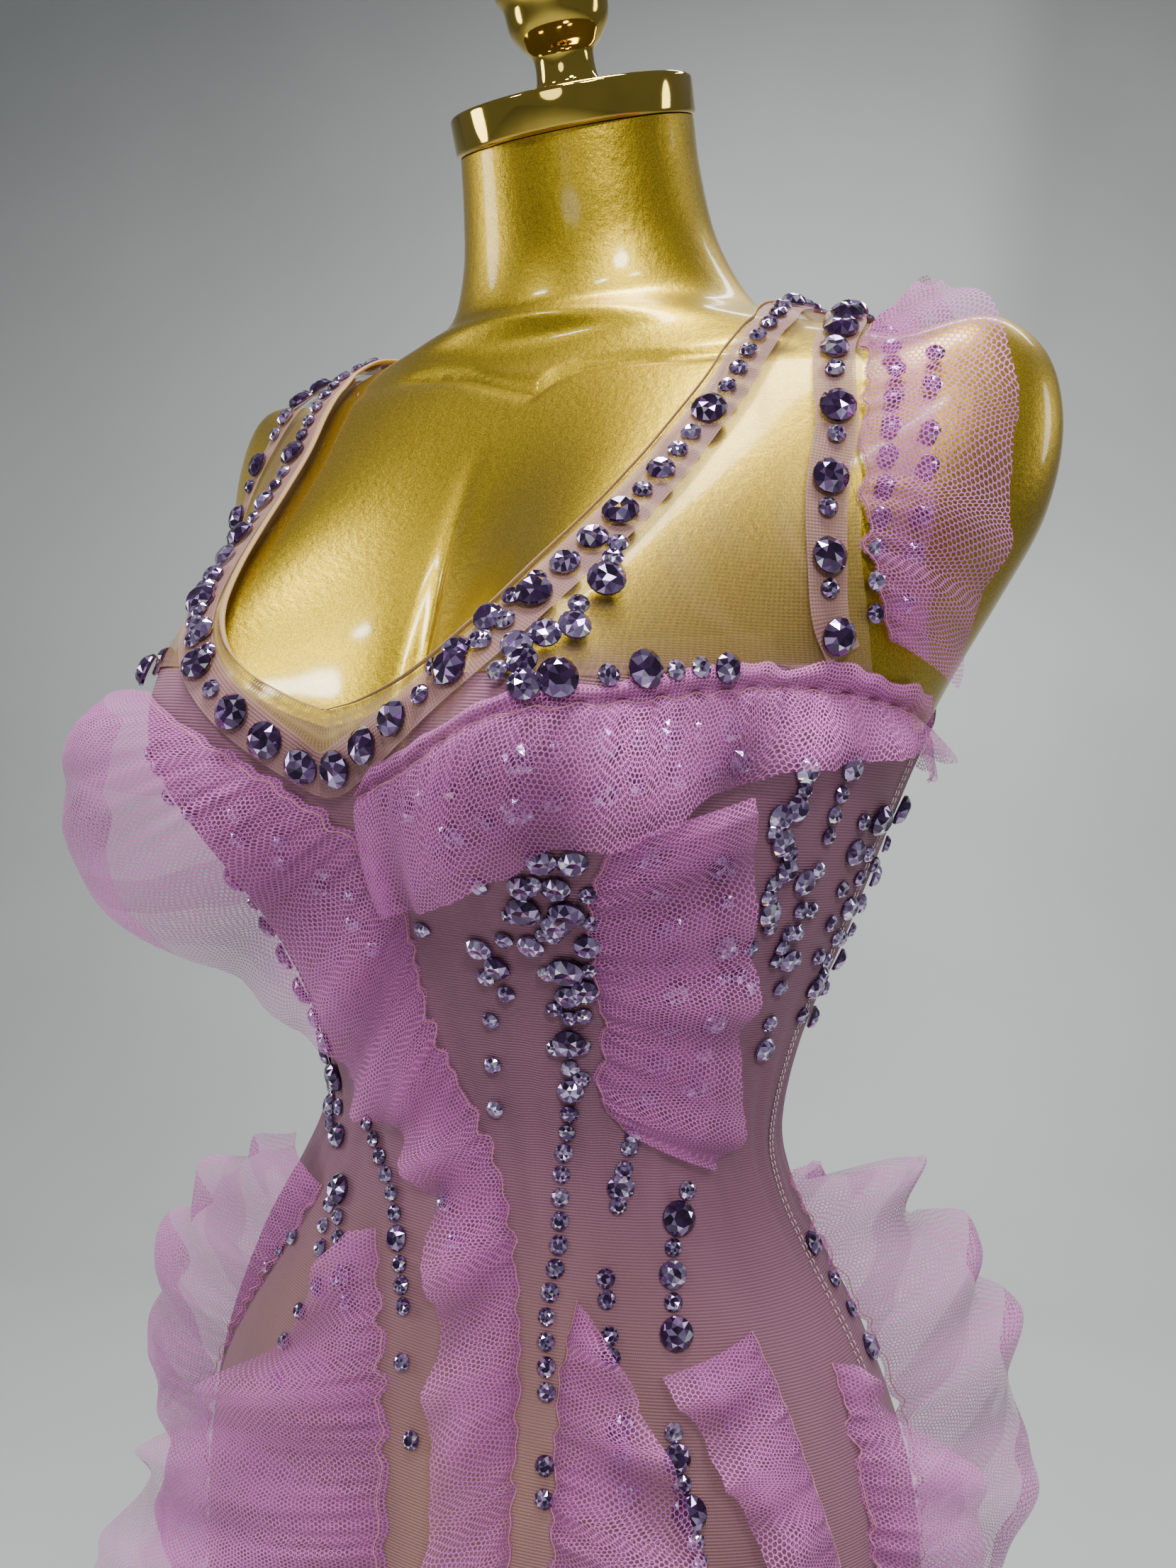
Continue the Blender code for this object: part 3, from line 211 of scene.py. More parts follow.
# foot: how far the seam stands off the panel; waves and their swing; and the rows
# seam angle, seam height, free edge angle, free edge height, free edge stand-off
RUFFLES = {
    "armhole_ruffle": dict(foot=0.0013, waves=4, swing=0.0035, rows=(
        (128.5, 1.385, 125, 1.379, 0.014), (112, 1.3945, 112, 1.388, 0.02), (96, 1.3995, 98, 1.396, 0.02),
        (78, 1.3987, 84, 1.395, 0.019), (61.2, 1.3933, 71, 1.388, 0.017), (49.2, 1.381, 65, 1.377, 0.015),
        (46.1, 1.35, 65.5, 1.345, 0.014), (49.2, 1.321, 70.5, 1.313, 0.014),
        (55.3, 1.296, 75.5, 1.285, 0.014), (65.0, 1.271, 81, 1.261, 0.013))),
    "bust_ruffle": dict(foot=0.0013, waves=5, swing=0.003, rows=(
        (5.5, 1.203, 5.5, 1.166, 0.014), (17, 1.214, 15, 1.173, 0.014), (28, 1.23, 28, 1.185, 0.013),
        (40, 1.238, 42, 1.199, 0.013), (52, 1.248, 55, 1.217, 0.014), (64, 1.2495, 67, 1.229, 0.016),
        (76, 1.248, 78, 1.235, 0.019), (87, 1.244, 88, 1.236, 0.02))),
    "under_bust_ruffle": dict(foot=0.0013, waves=3, swing=0.003, rows=(
        (43, 1.195, 56, 1.2125, 0.009), (39, 1.174, 59, 1.19, 0.013), (37, 1.148, 62, 1.152, 0.014),
        (38, 1.12, 65, 1.112, 0.014), (37, 1.094, 68, 1.074, 0.013), (42, 1.079, 62, 1.062, 0.011))),
    "bust_cascade": dict(foot=0.0013, waves=9, swing=0.006, rows=(
        (-32, 1.234, -54, 1.228, 0.04), (-15, 1.214, -56, 1.195, 0.056), (-4, 1.1985, -48, 1.16, 0.044),
        (3, 1.186, -36, 1.135, 0.03), (6, 1.165, -20, 1.108, 0.022), (4, 1.125, -12, 1.078, 0.017),
        (8, 1.092, -4, 1.06, 0.014), (15, 1.06, 1, 1.04, 0.013), (19, 1.03, 6, 1.012, 0.014),
        (20, 0.998, 8, 0.985, 0.016), (20, 0.965, 10, 0.95, 0.018), (20, 0.928, 11, 0.905, 0.024),
        (20, 0.86, 10, 0.83, 0.03), (18, 0.78, 8, 0.75, 0.034), (16, 0.7, 6, 0.668, 0.034))),
    "hip_cascade_right": dict(foot=0.001, waves=5, swing=0.009, rows=(
        (-11, 1.02, -15, 1.016, 0.01), (-5, 0.99, -22, 0.968, 0.016), (-1, 0.96, -32, 0.93, 0.024),
        (2, 0.928, -41, 0.892, 0.034), (3, 0.89, -47, 0.85, 0.044), (2, 0.83, -47, 0.78, 0.05),
        (0, 0.76, -42, 0.715, 0.05), (-2, 0.695, -30, 0.668, 0.045))),
    "side_cascade_right": dict(foot=0.0005, waves=6, swing=0.01, rows=(
        (-32, 1.024, -50, 1.036, 0.014), (-36, 0.992, -62, 1.004, 0.032), (-42, 0.96, -73, 0.962, 0.047),
        (-48, 0.928, -82, 0.915, 0.058), (-54, 0.89, -90, 0.865, 0.064), (-57, 0.83, -93, 0.795, 0.064),
        (-58, 0.76, -92, 0.725, 0.06), (-58, 0.695, -84, 0.668, 0.052))),
    "hip_ruffle_centre": dict(foot=0.0005, waves=4, swing=0.006, rows=(
        (30, 1.012, 32, 1.008, 0.009), (26, 0.985, 38, 0.984, 0.015), (25, 0.952, 43, 0.95, 0.019),
        (25, 0.915, 47, 0.91, 0.023), (26, 0.85, 50, 0.845, 0.028), (27, 0.78, 50, 0.77, 0.032),
        (28, 0.7, 50, 0.672, 0.034))),
    "hip_ruffle_left": dict(foot=0.0003, waves=4, swing=0.006, rows=(
        (62, 1.002, 42, 0.99, 0.013), (64, 0.972, 47, 0.966, 0.016), (66, 0.942, 51, 0.943, 0.019),
        (68, 0.915, 54, 0.918, 0.023), (70, 0.85, 56, 0.85, 0.028), (71, 0.78, 57, 0.775, 0.032),
        (71, 0.7, 58, 0.672, 0.034))),
    "side_ruffle_left": dict(foot=0.0003, waves=4, swing=0.008, rows=(
        (78, 0.985, 81, 0.982, 0.011), (76, 0.955, 90, 0.948, 0.021), (75, 0.92, 95, 0.908, 0.031),
        (76, 0.86, 99, 0.842, 0.038), (77, 0.78, 101, 0.765, 0.042), (78, 0.7, 99, 0.67, 0.042))),
    "side_cascade_left": dict(foot=0.001, waves=6, swing=0.011, rows=(
        (99, 1.048, 108, 1.046, 0.014), (99, 1.028, 114, 1.03, 0.036), (101, 1.0, 118, 1.006, 0.056),
        (103, 0.968, 121, 0.975, 0.07), (106, 0.93, 124, 0.93, 0.078), (110, 0.87, 126, 0.86, 0.076),
        (113, 0.79, 126, 0.775, 0.068), (114, 0.71, 124, 0.672, 0.056))),
    "back_cascade_left": dict(foot=0.0007, waves=5, swing=0.009, rows=(
        (138, 1.04, 142, 1.035, 0.01), (134, 0.99, 150, 0.982, 0.026), (132, 0.94, 156, 0.93, 0.04),
        (134, 0.87, 160, 0.855, 0.05), (136, 0.79, 160, 0.77, 0.052), (138, 0.7, 156, 0.67, 0.046))),
    "back_cascade_centre": dict(foot=0.0004, waves=5, swing=0.009, rows=(
        (170, 1.02, 175, 1.012, 0.01), (168, 0.97, 186, 0.958, 0.028), (168, 0.92, 192, 0.905, 0.042),
        (170, 0.85, 195, 0.835, 0.05), (172, 0.77, 195, 0.755, 0.052), (172, 0.7, 190, 0.67, 0.046))),
    "back_cascade_right": dict(foot=0.0005, waves=5, swing=0.009, rows=(
        (206, 1.035, 211, 1.03, 0.01), (204, 0.99, 222, 0.98, 0.03), (203, 0.94, 229, 0.928, 0.044),
        (205, 0.87, 233, 0.855, 0.05), (208, 0.79, 233, 0.77, 0.052), (208, 0.7, 228, 0.67, 0.046))),
    "side_ruffle_right": dict(foot=0.0, waves=4, swing=0.008, rows=(
        (242, 1.02, 247, 1.012, 0.01), (241, 0.97, 254, 0.96, 0.026), (241, 0.92, 258, 0.905, 0.04),
        (243, 0.85, 260, 0.835, 0.048), (245, 0.77, 260, 0.755, 0.048), (246, 0.7, 257, 0.67, 0.044))),
    "bust_ruffle_right": dict(foot=0.0008, waves=3, swing=0.002, rows=(
        (-42, 1.239, -43, 1.21, 0.01), (-54, 1.248, -55, 1.218, 0.011), (-66, 1.247, -68, 1.222, 0.011),
        (-78, 1.241, -79, 1.224, 0.011), (-86, 1.235, -87, 1.226, 0.009))),
    "back_bust_ruffle": dict(foot=0.001, waves=7, swing=0.004, rows=(
        (95, 1.233, 94, 1.224, 0.01), (110, 1.245, 110, 1.228, 0.012), (130, 1.26, 130, 1.236, 0.013),
        (150, 1.268, 150, 1.242, 0.013), (170, 1.27, 170, 1.244, 0.013), (190, 1.27, 190, 1.244, 0.013),
        (210, 1.268, 210, 1.242, 0.013), (230, 1.26, 230, 1.236, 0.013), (250, 1.245, 250, 1.228, 0.012),
        (265, 1.233, 266, 1.224, 0.01))),
}

# radius, height above the neck cap: the turned finial from its foot to its tip
FINIAL_PROFILE = (
    (0.0165, 0.0), (0.016, 0.0025), (0.0136, 0.007), (0.0133, 0.016), (0.0172, 0.0205), (0.0215, 0.027),
    (0.0228, 0.0355), (0.0252, 0.04), (0.0252, 0.044), (0.0195, 0.05), (0.0132, 0.056), (0.0158, 0.06),
    (0.014, 0.064), (0.0112, 0.067), (0.015, 0.0735), (0.0178, 0.082), (0.0162, 0.09), (0.01, 0.0965),
)
BASE_PROFILE = (
    (0.172, 0.0), (0.175, 0.003), (0.175, 0.008), (0.17, 0.0115), (0.09, 0.017), (0.045, 0.0215),
    (0.029, 0.0265), (0.024, 0.034),
)
COLLAR_PROFILE = ((0.03, 0.0), (0.03, -0.004), (0.024, -0.01), (0.0185, -0.02), (0.0175, -0.03))


# angle, height: crease under the collar bones; height, depth: crease between the cups
COLLAR_CREASE = (
    (-24, 1.39), (-15, 1.3894), (-7.8, 1.385), (-0.4, 1.3748), (4.8, 1.369), (7.2, 1.3765), (10.4, 1.3808),
    (17.2, 1.3826), (25.5, 1.3815), (33.7, 1.3835), (42, 1.387),
)
COLLAR_DEPTH, COLLAR_REACH = 0.0030, 0.0034
CLEFT = ((1.15, 0.0), (1.195, 0.004), (1.24, 0.0065), (1.275, 0.005), (1.31, 0.0018), (1.345, 0.0))
CLEFT_REACH = 0.0042
# the sheer inset that rounds the neckline's point: its depth at the front, and the degrees it fades over
INSET_DEPTH, INSET_REACH = 0.0145, 14.0


# The body's shape
def smooth_rows(rows, places):
    """Catmull-Rom blend of a table's rows at fractional row numbers; the last axis is the columns."""
    table = np.asarray(rows, float)
    table = np.vstack([2 * table[0] - table[1], table, 2 * table[-1] - table[-2]])
    places = np.asarray(places, float)
    i = np.clip(places.astype(int), 0, len(rows) - 2)
    t = (places - i)[..., None]
    a, b, c, d = (table[i + k] for k in range(4))
    return b + 0.5 * t * (c - a + t * (2 * a - 5 * b + 4 * c - d + t * (3 * (b - c) + d - a)))


def finer(rows, steps):
    """A table's rows with so many steps between them along a smooth curve."""
    return smooth_rows(rows, np.linspace(0, len(rows) - 1, steps * (len(rows) - 1) + 1))


FINE_RINGS = finer(BODY_RINGS, FINE_STEPS)


def ease(value):
    """Smooth step from 0 to 1."""
    value = np.clip(value, 0, 1)
    return value * value * (3 - 2 * value)


def hill(value, middle, width):
    """Smooth bump of height 1 round a middle."""
    return np.exp(-((value - middle) / width) ** 2)


def bust(x, z, valley):
    """How far the bust stands forward, with a cloth's valley filled between the cups."""
    rise = z - BUST_HEIGHT
    fade = np.exp(-(rise / np.where(rise > 0, BUST_ABOVE, BUST_BELOW)) ** 2)
    fade = fade * (1 - ease((z - BUST_FADE[0]) / (BUST_FADE[1] - BUST_FADE[0])))
    lobes = sum(hill(x, side * BUST_SIDE, BUST_WIDTH) for side in (-1, 1))
    return BUST_DEPTH * fade * np.where(np.abs(x) < BUST_SIDE, lobes * valley + 1 - valley, lobes)


def body_points(angle, height, valley):
    """Points of the body's skin at angles and heights."""
    angle, height = np.broadcast_arrays(np.asarray(angle, float), np.asarray(height, float))
    rings = FINE_RINGS.T
    centre, width, front, back, tilt = (np.interp(height, rings[0], rings[k]) for k in range(1, 6))
    turn = np.radians(angle)
    forward = np.cos(turn)
    x = width * np.sin(turn)
    y = -np.where(forward > 0, front, back) * forward - bust(x, height, valley) * ease(2.2 * forward)
    lean = np.radians(tilt)
    grown = ease((np.abs(x) - STUB_START) / STUB_SPAN)
    push = STUB_PUSH * grown * hill(height, STUB_MIDDLE, STUB_FADE)
    lift = STUB_LIFT * grown * np.exp(-(np.maximum(STUB_TOP - height, 0) / STUB_FADE) ** 2)
    return np.stack([x + np.sign(x) * push, centre + y * np.cos(lean), height + y * np.sin(lean) + lift], -1)


def cloth_points(angle, height):
    """Points of the skin that the cloth lies over."""
    return body_points(angle, height, CLOTH_VALLEY)


def unit(vectors):
    """Vectors of length one."""
    return vectors / np.linalg.norm(vectors, axis=-1, keepdims=True)


def frames_on(angle, height):
    """Points, directions round, directions up and outward normals of the cloth's inner skin."""
    turn, rise = 3.0, 0.006
    across = cloth_points(angle + turn, height) - cloth_points(angle - turn, height)
    up = cloth_points(angle, height + rise) - cloth_points(angle, height - rise)
    normal = unit(np.cross(across, up))
    across = unit(across)
    return cloth_points(angle, height), across, np.cross(normal, across), normal


def surface(angle, height, out):
    """Points that stand a distance off the body."""
    angle, height = np.broadcast_arrays(np.asarray(angle, float), np.asarray(height, float))
    point, _, _, normal = frames_on(angle, height)
    return point + np.asarray(out)[..., None] * normal


def step_on(angle, height, move):
    """Angles and heights reached by small moves along the body."""
    turn, rise = 1.0, 0.002
    here = cloth_points(angle, height)
    by_turn = (cloth_points(angle + turn, height) - here) / turn
    by_rise = (cloth_points(angle, height + rise) - here) / rise
    dot = lambda a, b: (a * b).sum(-1)
    tt, tr, rr = dot(by_turn, by_turn), dot(by_turn, by_rise), dot(by_rise, by_rise)
    mt, mr = dot(by_turn, move), dot(by_rise, move)
    det = tt * rr - tr * tr
    return angle + (mt * rr - mr * tr) / det, height + (mr * tt - mt * tr) / det


def edge_height(edge, angle):
    """Height of a panel's top edge at angles."""
    keys = np.array([row[0] for row in edge], float)
    i = np.clip(np.searchsorted(keys, angle, side="right") - 1, 0, len(edge) - 2)
    return smooth_rows(edge, i + (angle - keys[i]) / (keys[i + 1] - keys[i]))[..., 1]


def walked(points):
    """Length walked along a row of points."""
    return np.concatenate([[0], np.cumsum(np.linalg.norm(np.diff(points, axis=0), axis=1))])


def path_lengths(knots, out):
    """Smooth path through knots on the body, and the length walked at each of its points."""
    path = finer(knots, PATH_STEPS)
    return path, walked(surface(path[:, 0], path[:, 1], out))


def spaced_path(knots, out):
    """Angles and heights one step apart along a smooth path on the body."""
    path, lengths = path_lengths(knots, out)
    places = np.linspace(0, lengths[-1], max(1, round(lengths[-1] / BAND_STEP)) + 1)
    return np.interp(places, lengths, path[:, 0]), np.interp(places, lengths, path[:, 1])


def chain_places(knots, stones, out):
    """Angle, height and size letter of each stone set along a path."""
    path, lengths = path_lengths(knots, out)
    scale = lengths[-1] / sum(STONE_PITCH[letter] for letter in stones)
    places, travelled = [], 0.0
    for letter in stones:
        pitch = STONE_PITCH[letter] * scale
        if letter != ".":
            middle = travelled + pitch / 2
            places.append((*(float(np.interp(middle, lengths, path[:, k])) for k in (0, 1)), letter))
        travelled += pitch
    return places


def mirrored(rows, side):
    """The same rows on the left (1) or the right (-1) of the body."""
    return [(side * angle, *rest) for angle, *rest in rows]


WHOLE_NECKLINE = mirrored(NECKLINE_BAND[:0:-1], -1) + list(NECKLINE_BAND)


# Meshes
def mesh_object(name, points, faces, material, weave=None, tone=None, smooth=True):
    """Shown piece that rides on the part, with its cloth coordinates in metres and its tones."""
    mesh = bpy.data.meshes.new(name)
    mesh.from_pydata(np.asarray(points, float).tolist(), [], faces)
    if weave is not None:
        layer = mesh.attributes.new("weave", "FLOAT_VECTOR", "POINT")
        flat = np.zeros((len(points), 3), np.float32)
        flat[:, :weave.shape[1]] = weave
        layer.data.foreach_set("vector", flat.ravel())
    if tone is not None:
        layer = mesh.attributes.new("tone", "FLOAT", "FACE")
        layer.data.foreach_set("value", np.asarray(tone, np.float32))
    mesh.materials.append(material)
    if smooth:
        mesh.shade_smooth()
    piece = bpy.data.objects.new(name, mesh)
    bpy.context.scene.collection.objects.link(piece)
    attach(piece, "root")
    return piece


def grid_faces(rows, columns, closed=False, start=0):
    """Faces of a grid of points, closed round its columns if asked."""
    wrap = columns if closed else columns - 1
    return [(start + j * columns + k, start + j * columns + (k + 1) % columns,
             start + (j + 1) * columns + (k + 1) % columns, start + (j + 1) * columns + k)
            for j in range(rows - 1) for k in range(wrap)]


def capped_rings(rows, columns):
    """Faces of closed rings of points and of fans to the two points that follow them."""
    low, last = rows * columns, (rows - 1) * columns
    return (grid_faces(rows, columns, closed=True) + [(low, (k + 1) % columns, k) for k in range(columns)]
            + [(low + 1, last + k, last + (k + 1) % columns) for k in range(columns)])


def tube_faces(count, sides, start=0):
    """Faces of a tube of points with both ends closed."""
    end = start + count * sides
    return grid_faces(count, sides, True, start) + [tuple(range(start + sides - 1, start - 1, -1)),
                                                    tuple(range(end - sides, end))]


def tube_weave(line, sides, step):
    """Cloth coordinates of a tube: the length along it, and a step for each of its sides."""
    return np.stack([np.repeat(walked(line), sides), np.tile(np.arange(sides) * step, len(line))], -1)


def facing_out(grid):
    """Whether a grid's faces look away from the body's axis."""
    normal = np.cross(grid[:-1, 1:] - grid[:-1, :-1], grid[1:, :-1] - grid[:-1, :-1])
    return float((normal[..., :2] * grid[:-1, :-1, :2]).sum()) > 0


def cloth_object(name, grid, weave, material, tone=None):
    """Sheet through a grid of points, with a tone at each of them if given."""
    if not facing_out(grid):
        grid, weave = grid[::-1], weave[::-1]
        tone = None if tone is None else tone[::-1]
    rows, columns = grid.shape[:2]
    return mesh_object(name, grid.reshape(-1, 3), grid_faces(rows, columns), material,
                       weave=weave.reshape(-1, weave.shape[-1]),
                       tone=None if tone is None else tone[:-1, :-1].ravel())


def grid_area(grid):
    """Area of a grid of points."""
    return float(np.linalg.norm(np.cross(grid[1:, 1:] - grid[:-1, :-1], grid[1:, :-1] - grid[:-1, 1:]),
                                axis=-1).sum() / 2)


def tubes_object(name, lines, radius, sides, material):
    """Threads joined into one piece, with closed ends."""
    points, faces, weave, start = [], [], [], 0
    turn = np.linspace(0, math.tau, sides, endpoint=False)[None, :, None]
    for line in lines:
        ahead = unit(np.gradient(line, axis=0))
        side = unit(np.cross(ahead, np.array([0.3, 0.5, 0.81])))
        other = np.cross(side, ahead)
        ring = line[:, None] + radius * (np.cos(turn) * side[:, None] + np.sin(turn) * other[:, None])
        points.append(ring.reshape(-1, 3))
        faces += tube_faces(len(line), sides, start)
        weave.append(tube_weave(line, sides, 1 / sides))
        start += len(line) * sides
    return mesh_object(name, np.vstack(points), faces, material, weave=np.vstack(weave))


def turned_object(name, profile, sides, material, place=None):
    """Turned solid from a smooth profile of radius and height, closed on the axis."""
    profile = np.asarray(profile, float)
    if profile[0, 1] > profile[-1, 1]:
        profile = profile[::-1]
    turn = np.linspace(0, math.tau, sides, endpoint=False)
    rings = np.stack([profile[:, :1] * np.cos(turn), profile[:, :1] * np.sin(turn),
                      np.repeat(profile[:, 1:], sides, 1)], -1)
    points = np.vstack([rings.reshape(-1, 3), [[0, 0, profile[0, 1]], [0, 0, profile[-1, 1]]]])
    if place is not None:
        points = np.array([place @ Vector(p) for p in points])
    piece = mesh_object(name, points, capped_rings(len(profile), sides), material)
    piece.data.set_sharp_from_angle(angle=math.radians(42))
    return piece


# Shader expressions
def operation(kind, reflected=False):
    """Method that adds a Math node of one kind."""
    def method(self, *others):
        places = [*others, self] if reflected else [self, *others]
        return self.paint.node("ShaderNodeMath", {"operation": kind}, places).out(0)
    return method


class Value:
    """Number socket that Python's arithmetic can use."""

    def __init__(self, paint, socket):
        self.paint, self.socket = paint, socket

    __add__ = __radd__ = operation("ADD")
    __mul__ = __rmul__ = operation("MULTIPLY")
    __sub__, __rsub__ = operation("SUBTRACT"), operation("SUBTRACT", reflected=True)
    __truediv__, __rtruediv__ = operation("DIVIDE"), operation("DIVIDE", reflected=True)
    __abs__ = operation("ABSOLUTE")
    below, least, most = operation("LESS_THAN"), operation("MINIMUM"), operation("MAXIMUM")
    sine, wrap = operation("SINE"), operation("FLOORED_MODULO")

    def between(self, low, high):
        """Smooth rise from 0 at low to 1 at high."""
        return self.paint.node("ShaderNodeMapRange", {"interpolation_type": "SMOOTHSTEP"},
                               {"Value": self, "From Min": low, "From Max": high}).out(0)

    def ribs(self, pitch):
        """Fine ribs from 0 to 1, one for each pitch."""
        return (self * (math.tau / pitch)).sine() * 0.5 + 0.5


class Made:
    """Node that has been made."""

    def __init__(self, paint, made):
        self.paint, self.made = paint, made

    def out(self, key):
        return Value(self.paint, self.made.outputs[key])


class Paint:
    """Material under construction."""

    def __init__(self, name):
        self.material = bpy.data.materials.new(name)
        self.material.use_nodes = True
        self.tree = self.material.node_tree
        self.tree.nodes.clear()

    def node(self, kind, settings=None, sockets=None):
        """Node of a type, with its settings first and then its sockets' values or links."""
        made = self.tree.nodes.new(kind)
        for key, value in (settings or {}).items():
            if key == "stops":
                ramp = made.color_ramp
                while len(ramp.elements) < len(value):
                    ramp.elements.new(0.5)
                for element, (place, colour) in zip(ramp.elements, value):
                    element.position, element.color = place, (*colour, 1.0)
            else:
                setattr(made, key, value)
        pairs = sockets.items() if isinstance(sockets, dict) else enumerate(sockets or [])
        for key, value in pairs:
            if isinstance(value, Value):
                self.tree.links.new(value.socket, made.inputs[key])
            elif value is not None:
                made.inputs[key].default_value = value
        return Made(self, made)

    def place(self, name):
        """Cloth coordinates: length along, length across and a third number."""
        return self.split(self.node("ShaderNodeAttribute", {"attribute_name": name}).out("Vector"))

    def split(self, vector):
        made = self.node("ShaderNodeSeparateXYZ", None, [vector])
        return made.out(0), made.out(1), made.out(2)

    def number(self, name):
        return self.node("ShaderNodeAttribute", {"attribute_name": name}).out("Fac")

    def point(self):
        return self.node("ShaderNodeTexCoord").out("Object")

    def noise(self, vector, scale, detail=3.0, roughness=0.5):
        return self.node("ShaderNodeTexNoise", None, {"Vector": vector, "Scale": scale, "Detail": detail,
                                                     "Roughness": roughness}).out("Fac")

    def vector(self, x, y, z=0.0):
        return self.node("ShaderNodeCombineXYZ", None, [x, y, z]).out(0)

    def mix(self, factor, low, high):
        """Colour between two colours."""
        made = self.node("ShaderNodeMix", {"data_type": "RGBA"},
                         {0: factor, 6: low if isinstance(low, Value) else (*low, 1.0),
                          7: high if isinstance(high, Value) else (*high, 1.0)})
        return made.out(2)

    def bump(self, height, distance, strength=1.0):
        return self.node("ShaderNodeBump", None, {"Height": height, "Distance": distance,
                                                  "Strength": strength}).out("Normal")

    def finish(self, **sockets):
        """Principled shader with these sockets, and the finished material."""
        names = {key.replace("_", " ").title(): value for key, value in sockets.items()}
        for key, value in names.items():
            if isinstance(value, tuple) and len(value) == 3:
                names[key] = (*value, 1.0)
        shader = self.node("ShaderNodeBsdfPrincipled", None, names)
        self.node("ShaderNodeOutputMaterial", None, {"Surface": shader.out(0)})
        return self.material


def hex_net(paint, along, across, pitch, thread):
    """Mask of the threads of a hexagonal net: 1 on a thread."""
    x, y = along / pitch, across / pitch
    tall = math.sqrt(3)
    near = []
    for shift_x, shift_y in ((0.0, 0.0), (0.5, tall / 2)):
        near.append((abs((x + shift_x).wrap(1.0) - 0.5), abs((y + shift_y).wrap(tall) - tall / 2)))
    (ax, ay), (bx, by) = near
    first = (ax * ax + ay * ay).below(bx * bx + by * by)
    gx, gy = first * ax + (1 - first) * bx, first * ay + (1 - first) * by
    edge = 0.5 - (gx * 0.5 + gy * (tall / 2)).most(gx)
    return 1 - edge.between(thread * 0.6, thread * 1.4)


# Finishes
def scaled(colour, share):
    """Colour times a share, kept within white."""
    return tuple(min(1.0, c * share) for c in colour)


def gold_paint(settings):
    """Metallic gold paint under a clear coat, with fine flakes and a faint orange peel."""
    paint = Paint("gold_paint")
    point = paint.point()
    flakes = paint.noise(point, 2200.0, 1.0)
    cloudy = paint.noise(point, 9.0, 2.0)
    base = paint.mix(flakes.between(0.30, 0.70), scaled(settings.form_colour, 0.66),
                     scaled(settings.form_colour, 1.30))
    peel = paint.noise(point, 300.0, 4.0, 0.65)
    rough = 0.34 + 0.08 * cloudy + 0.06 * flakes
    return paint.finish(base_color=base, metallic=1.0, roughness=rough, coat_weight=0.6, coat_roughness=0.10,
                        normal=paint.bump(peel, 0.0004, 0.6))


def polished_gold(settings):
    """Gold plate, polished, with faint cloudy patches that are a little darker and rougher."""
    paint = Paint("polished_gold_plate")
    point = paint.point()
    cloudy = paint.noise(point, 60.0, 4.0)
    base = paint.mix(cloudy.between(0.35, 0.75), settings.plate_colour,
                     scaled(settings.plate_colour, 0.86))
    return paint.finish(base_color=base, metallic=1.0, roughness=0.05 + 0.07 * cloudy.between(0.4, 0.8))


def body_mesh(settings):
    """Mauve stretch mesh: fine crosswise ribs, paler and more nude where it is stretched, with painted shade
    along soft creases.
    """
    paint = Paint("mauve_power_mesh")
    along, across, stretch = paint.place("weave")
    ribs = across.ribs(0.0011)
    wales = along.ribs(0.0008)
    patch = paint.noise(paint.point(), 7.0, 3.0)
    creases = paint.noise(paint.vector(along * 26.0, across * 5.0), 1.0, 2.0)
    worn = (stretch + 0.30 * patch.between(0.40, 0.80)).least(1.0)
    base = paint.mix(worn, settings.mesh_colour, settings.nude_colour)
    # painted shade along soft creases: darker where the crease noise runs, which also bumps the mesh
    base = paint.mix(0.30 * creases.between(0.35, 0.65), base, scaled(settings.mesh_colour, 0.55))
    base = paint.mix(0.16 * ribs, base, (0.60, 0.38, 0.46))
    alpha = 0.86 + 0.08 * ribs + 0.05 * wales - 0.20 * worn
    return paint.finish(base_color=base, alpha=alpha.least(1.0), roughness=0.66, sheen_weight=0.08,
                        sheen_roughness=0.4,
                        normal=paint.bump(ribs + 0.4 * wales + 6.0 * creases, 0.00030, 0.7))


def yoke_mesh(settings, share=1.0, hem=1.0):
    """Very sheer nude mesh; share scales its opacity, and hem how far its edge takes the bands' colour."""
    paint = Paint("sheer_nude_mesh")
    along, across, edge = paint.place("weave")
    ribs = across.ribs(0.0013)
    wales = along.ribs(0.0013)
    folds = paint.noise(paint.vector(along * 1.1 + across * 0.7, across * 0.3), 48.0, 2.0)
    alpha = 0.15 + 0.17 * ribs.most(wales) + 0.22 * folds.between(0.50, 0.72) + 0.25 * edge
    base = paint.mix(edge * hem, settings.yoke_colour, settings.band_colour)
    return paint.finish(base_color=base, alpha=(alpha * share).least(1.0), roughness=0.6,
                        normal=paint.bump(ribs + wales, 0.0002, 0.4))


def band_mesh(settings):
    """Doubled nude mauve mesh of the bands, which still lets some gold through."""
    paint = Paint("doubled_mauve_mesh")
    along, across, _ = paint.place("weave")
    ribs = across.ribs(0.0012)
    wales = along.ribs(0.0012)
    patch = paint.noise(paint.point(), 60.0, 3.0)
    base = paint.mix(patch.between(0.3, 0.7), settings.band_colour, scaled(settings.band_colour, 1.25))
    return paint.finish(base_color=base, alpha=0.46 + 0.26 * ribs.most(wales), roughness=0.65,
                        normal=paint.bump(ribs + wales, 0.0002, 0.6))


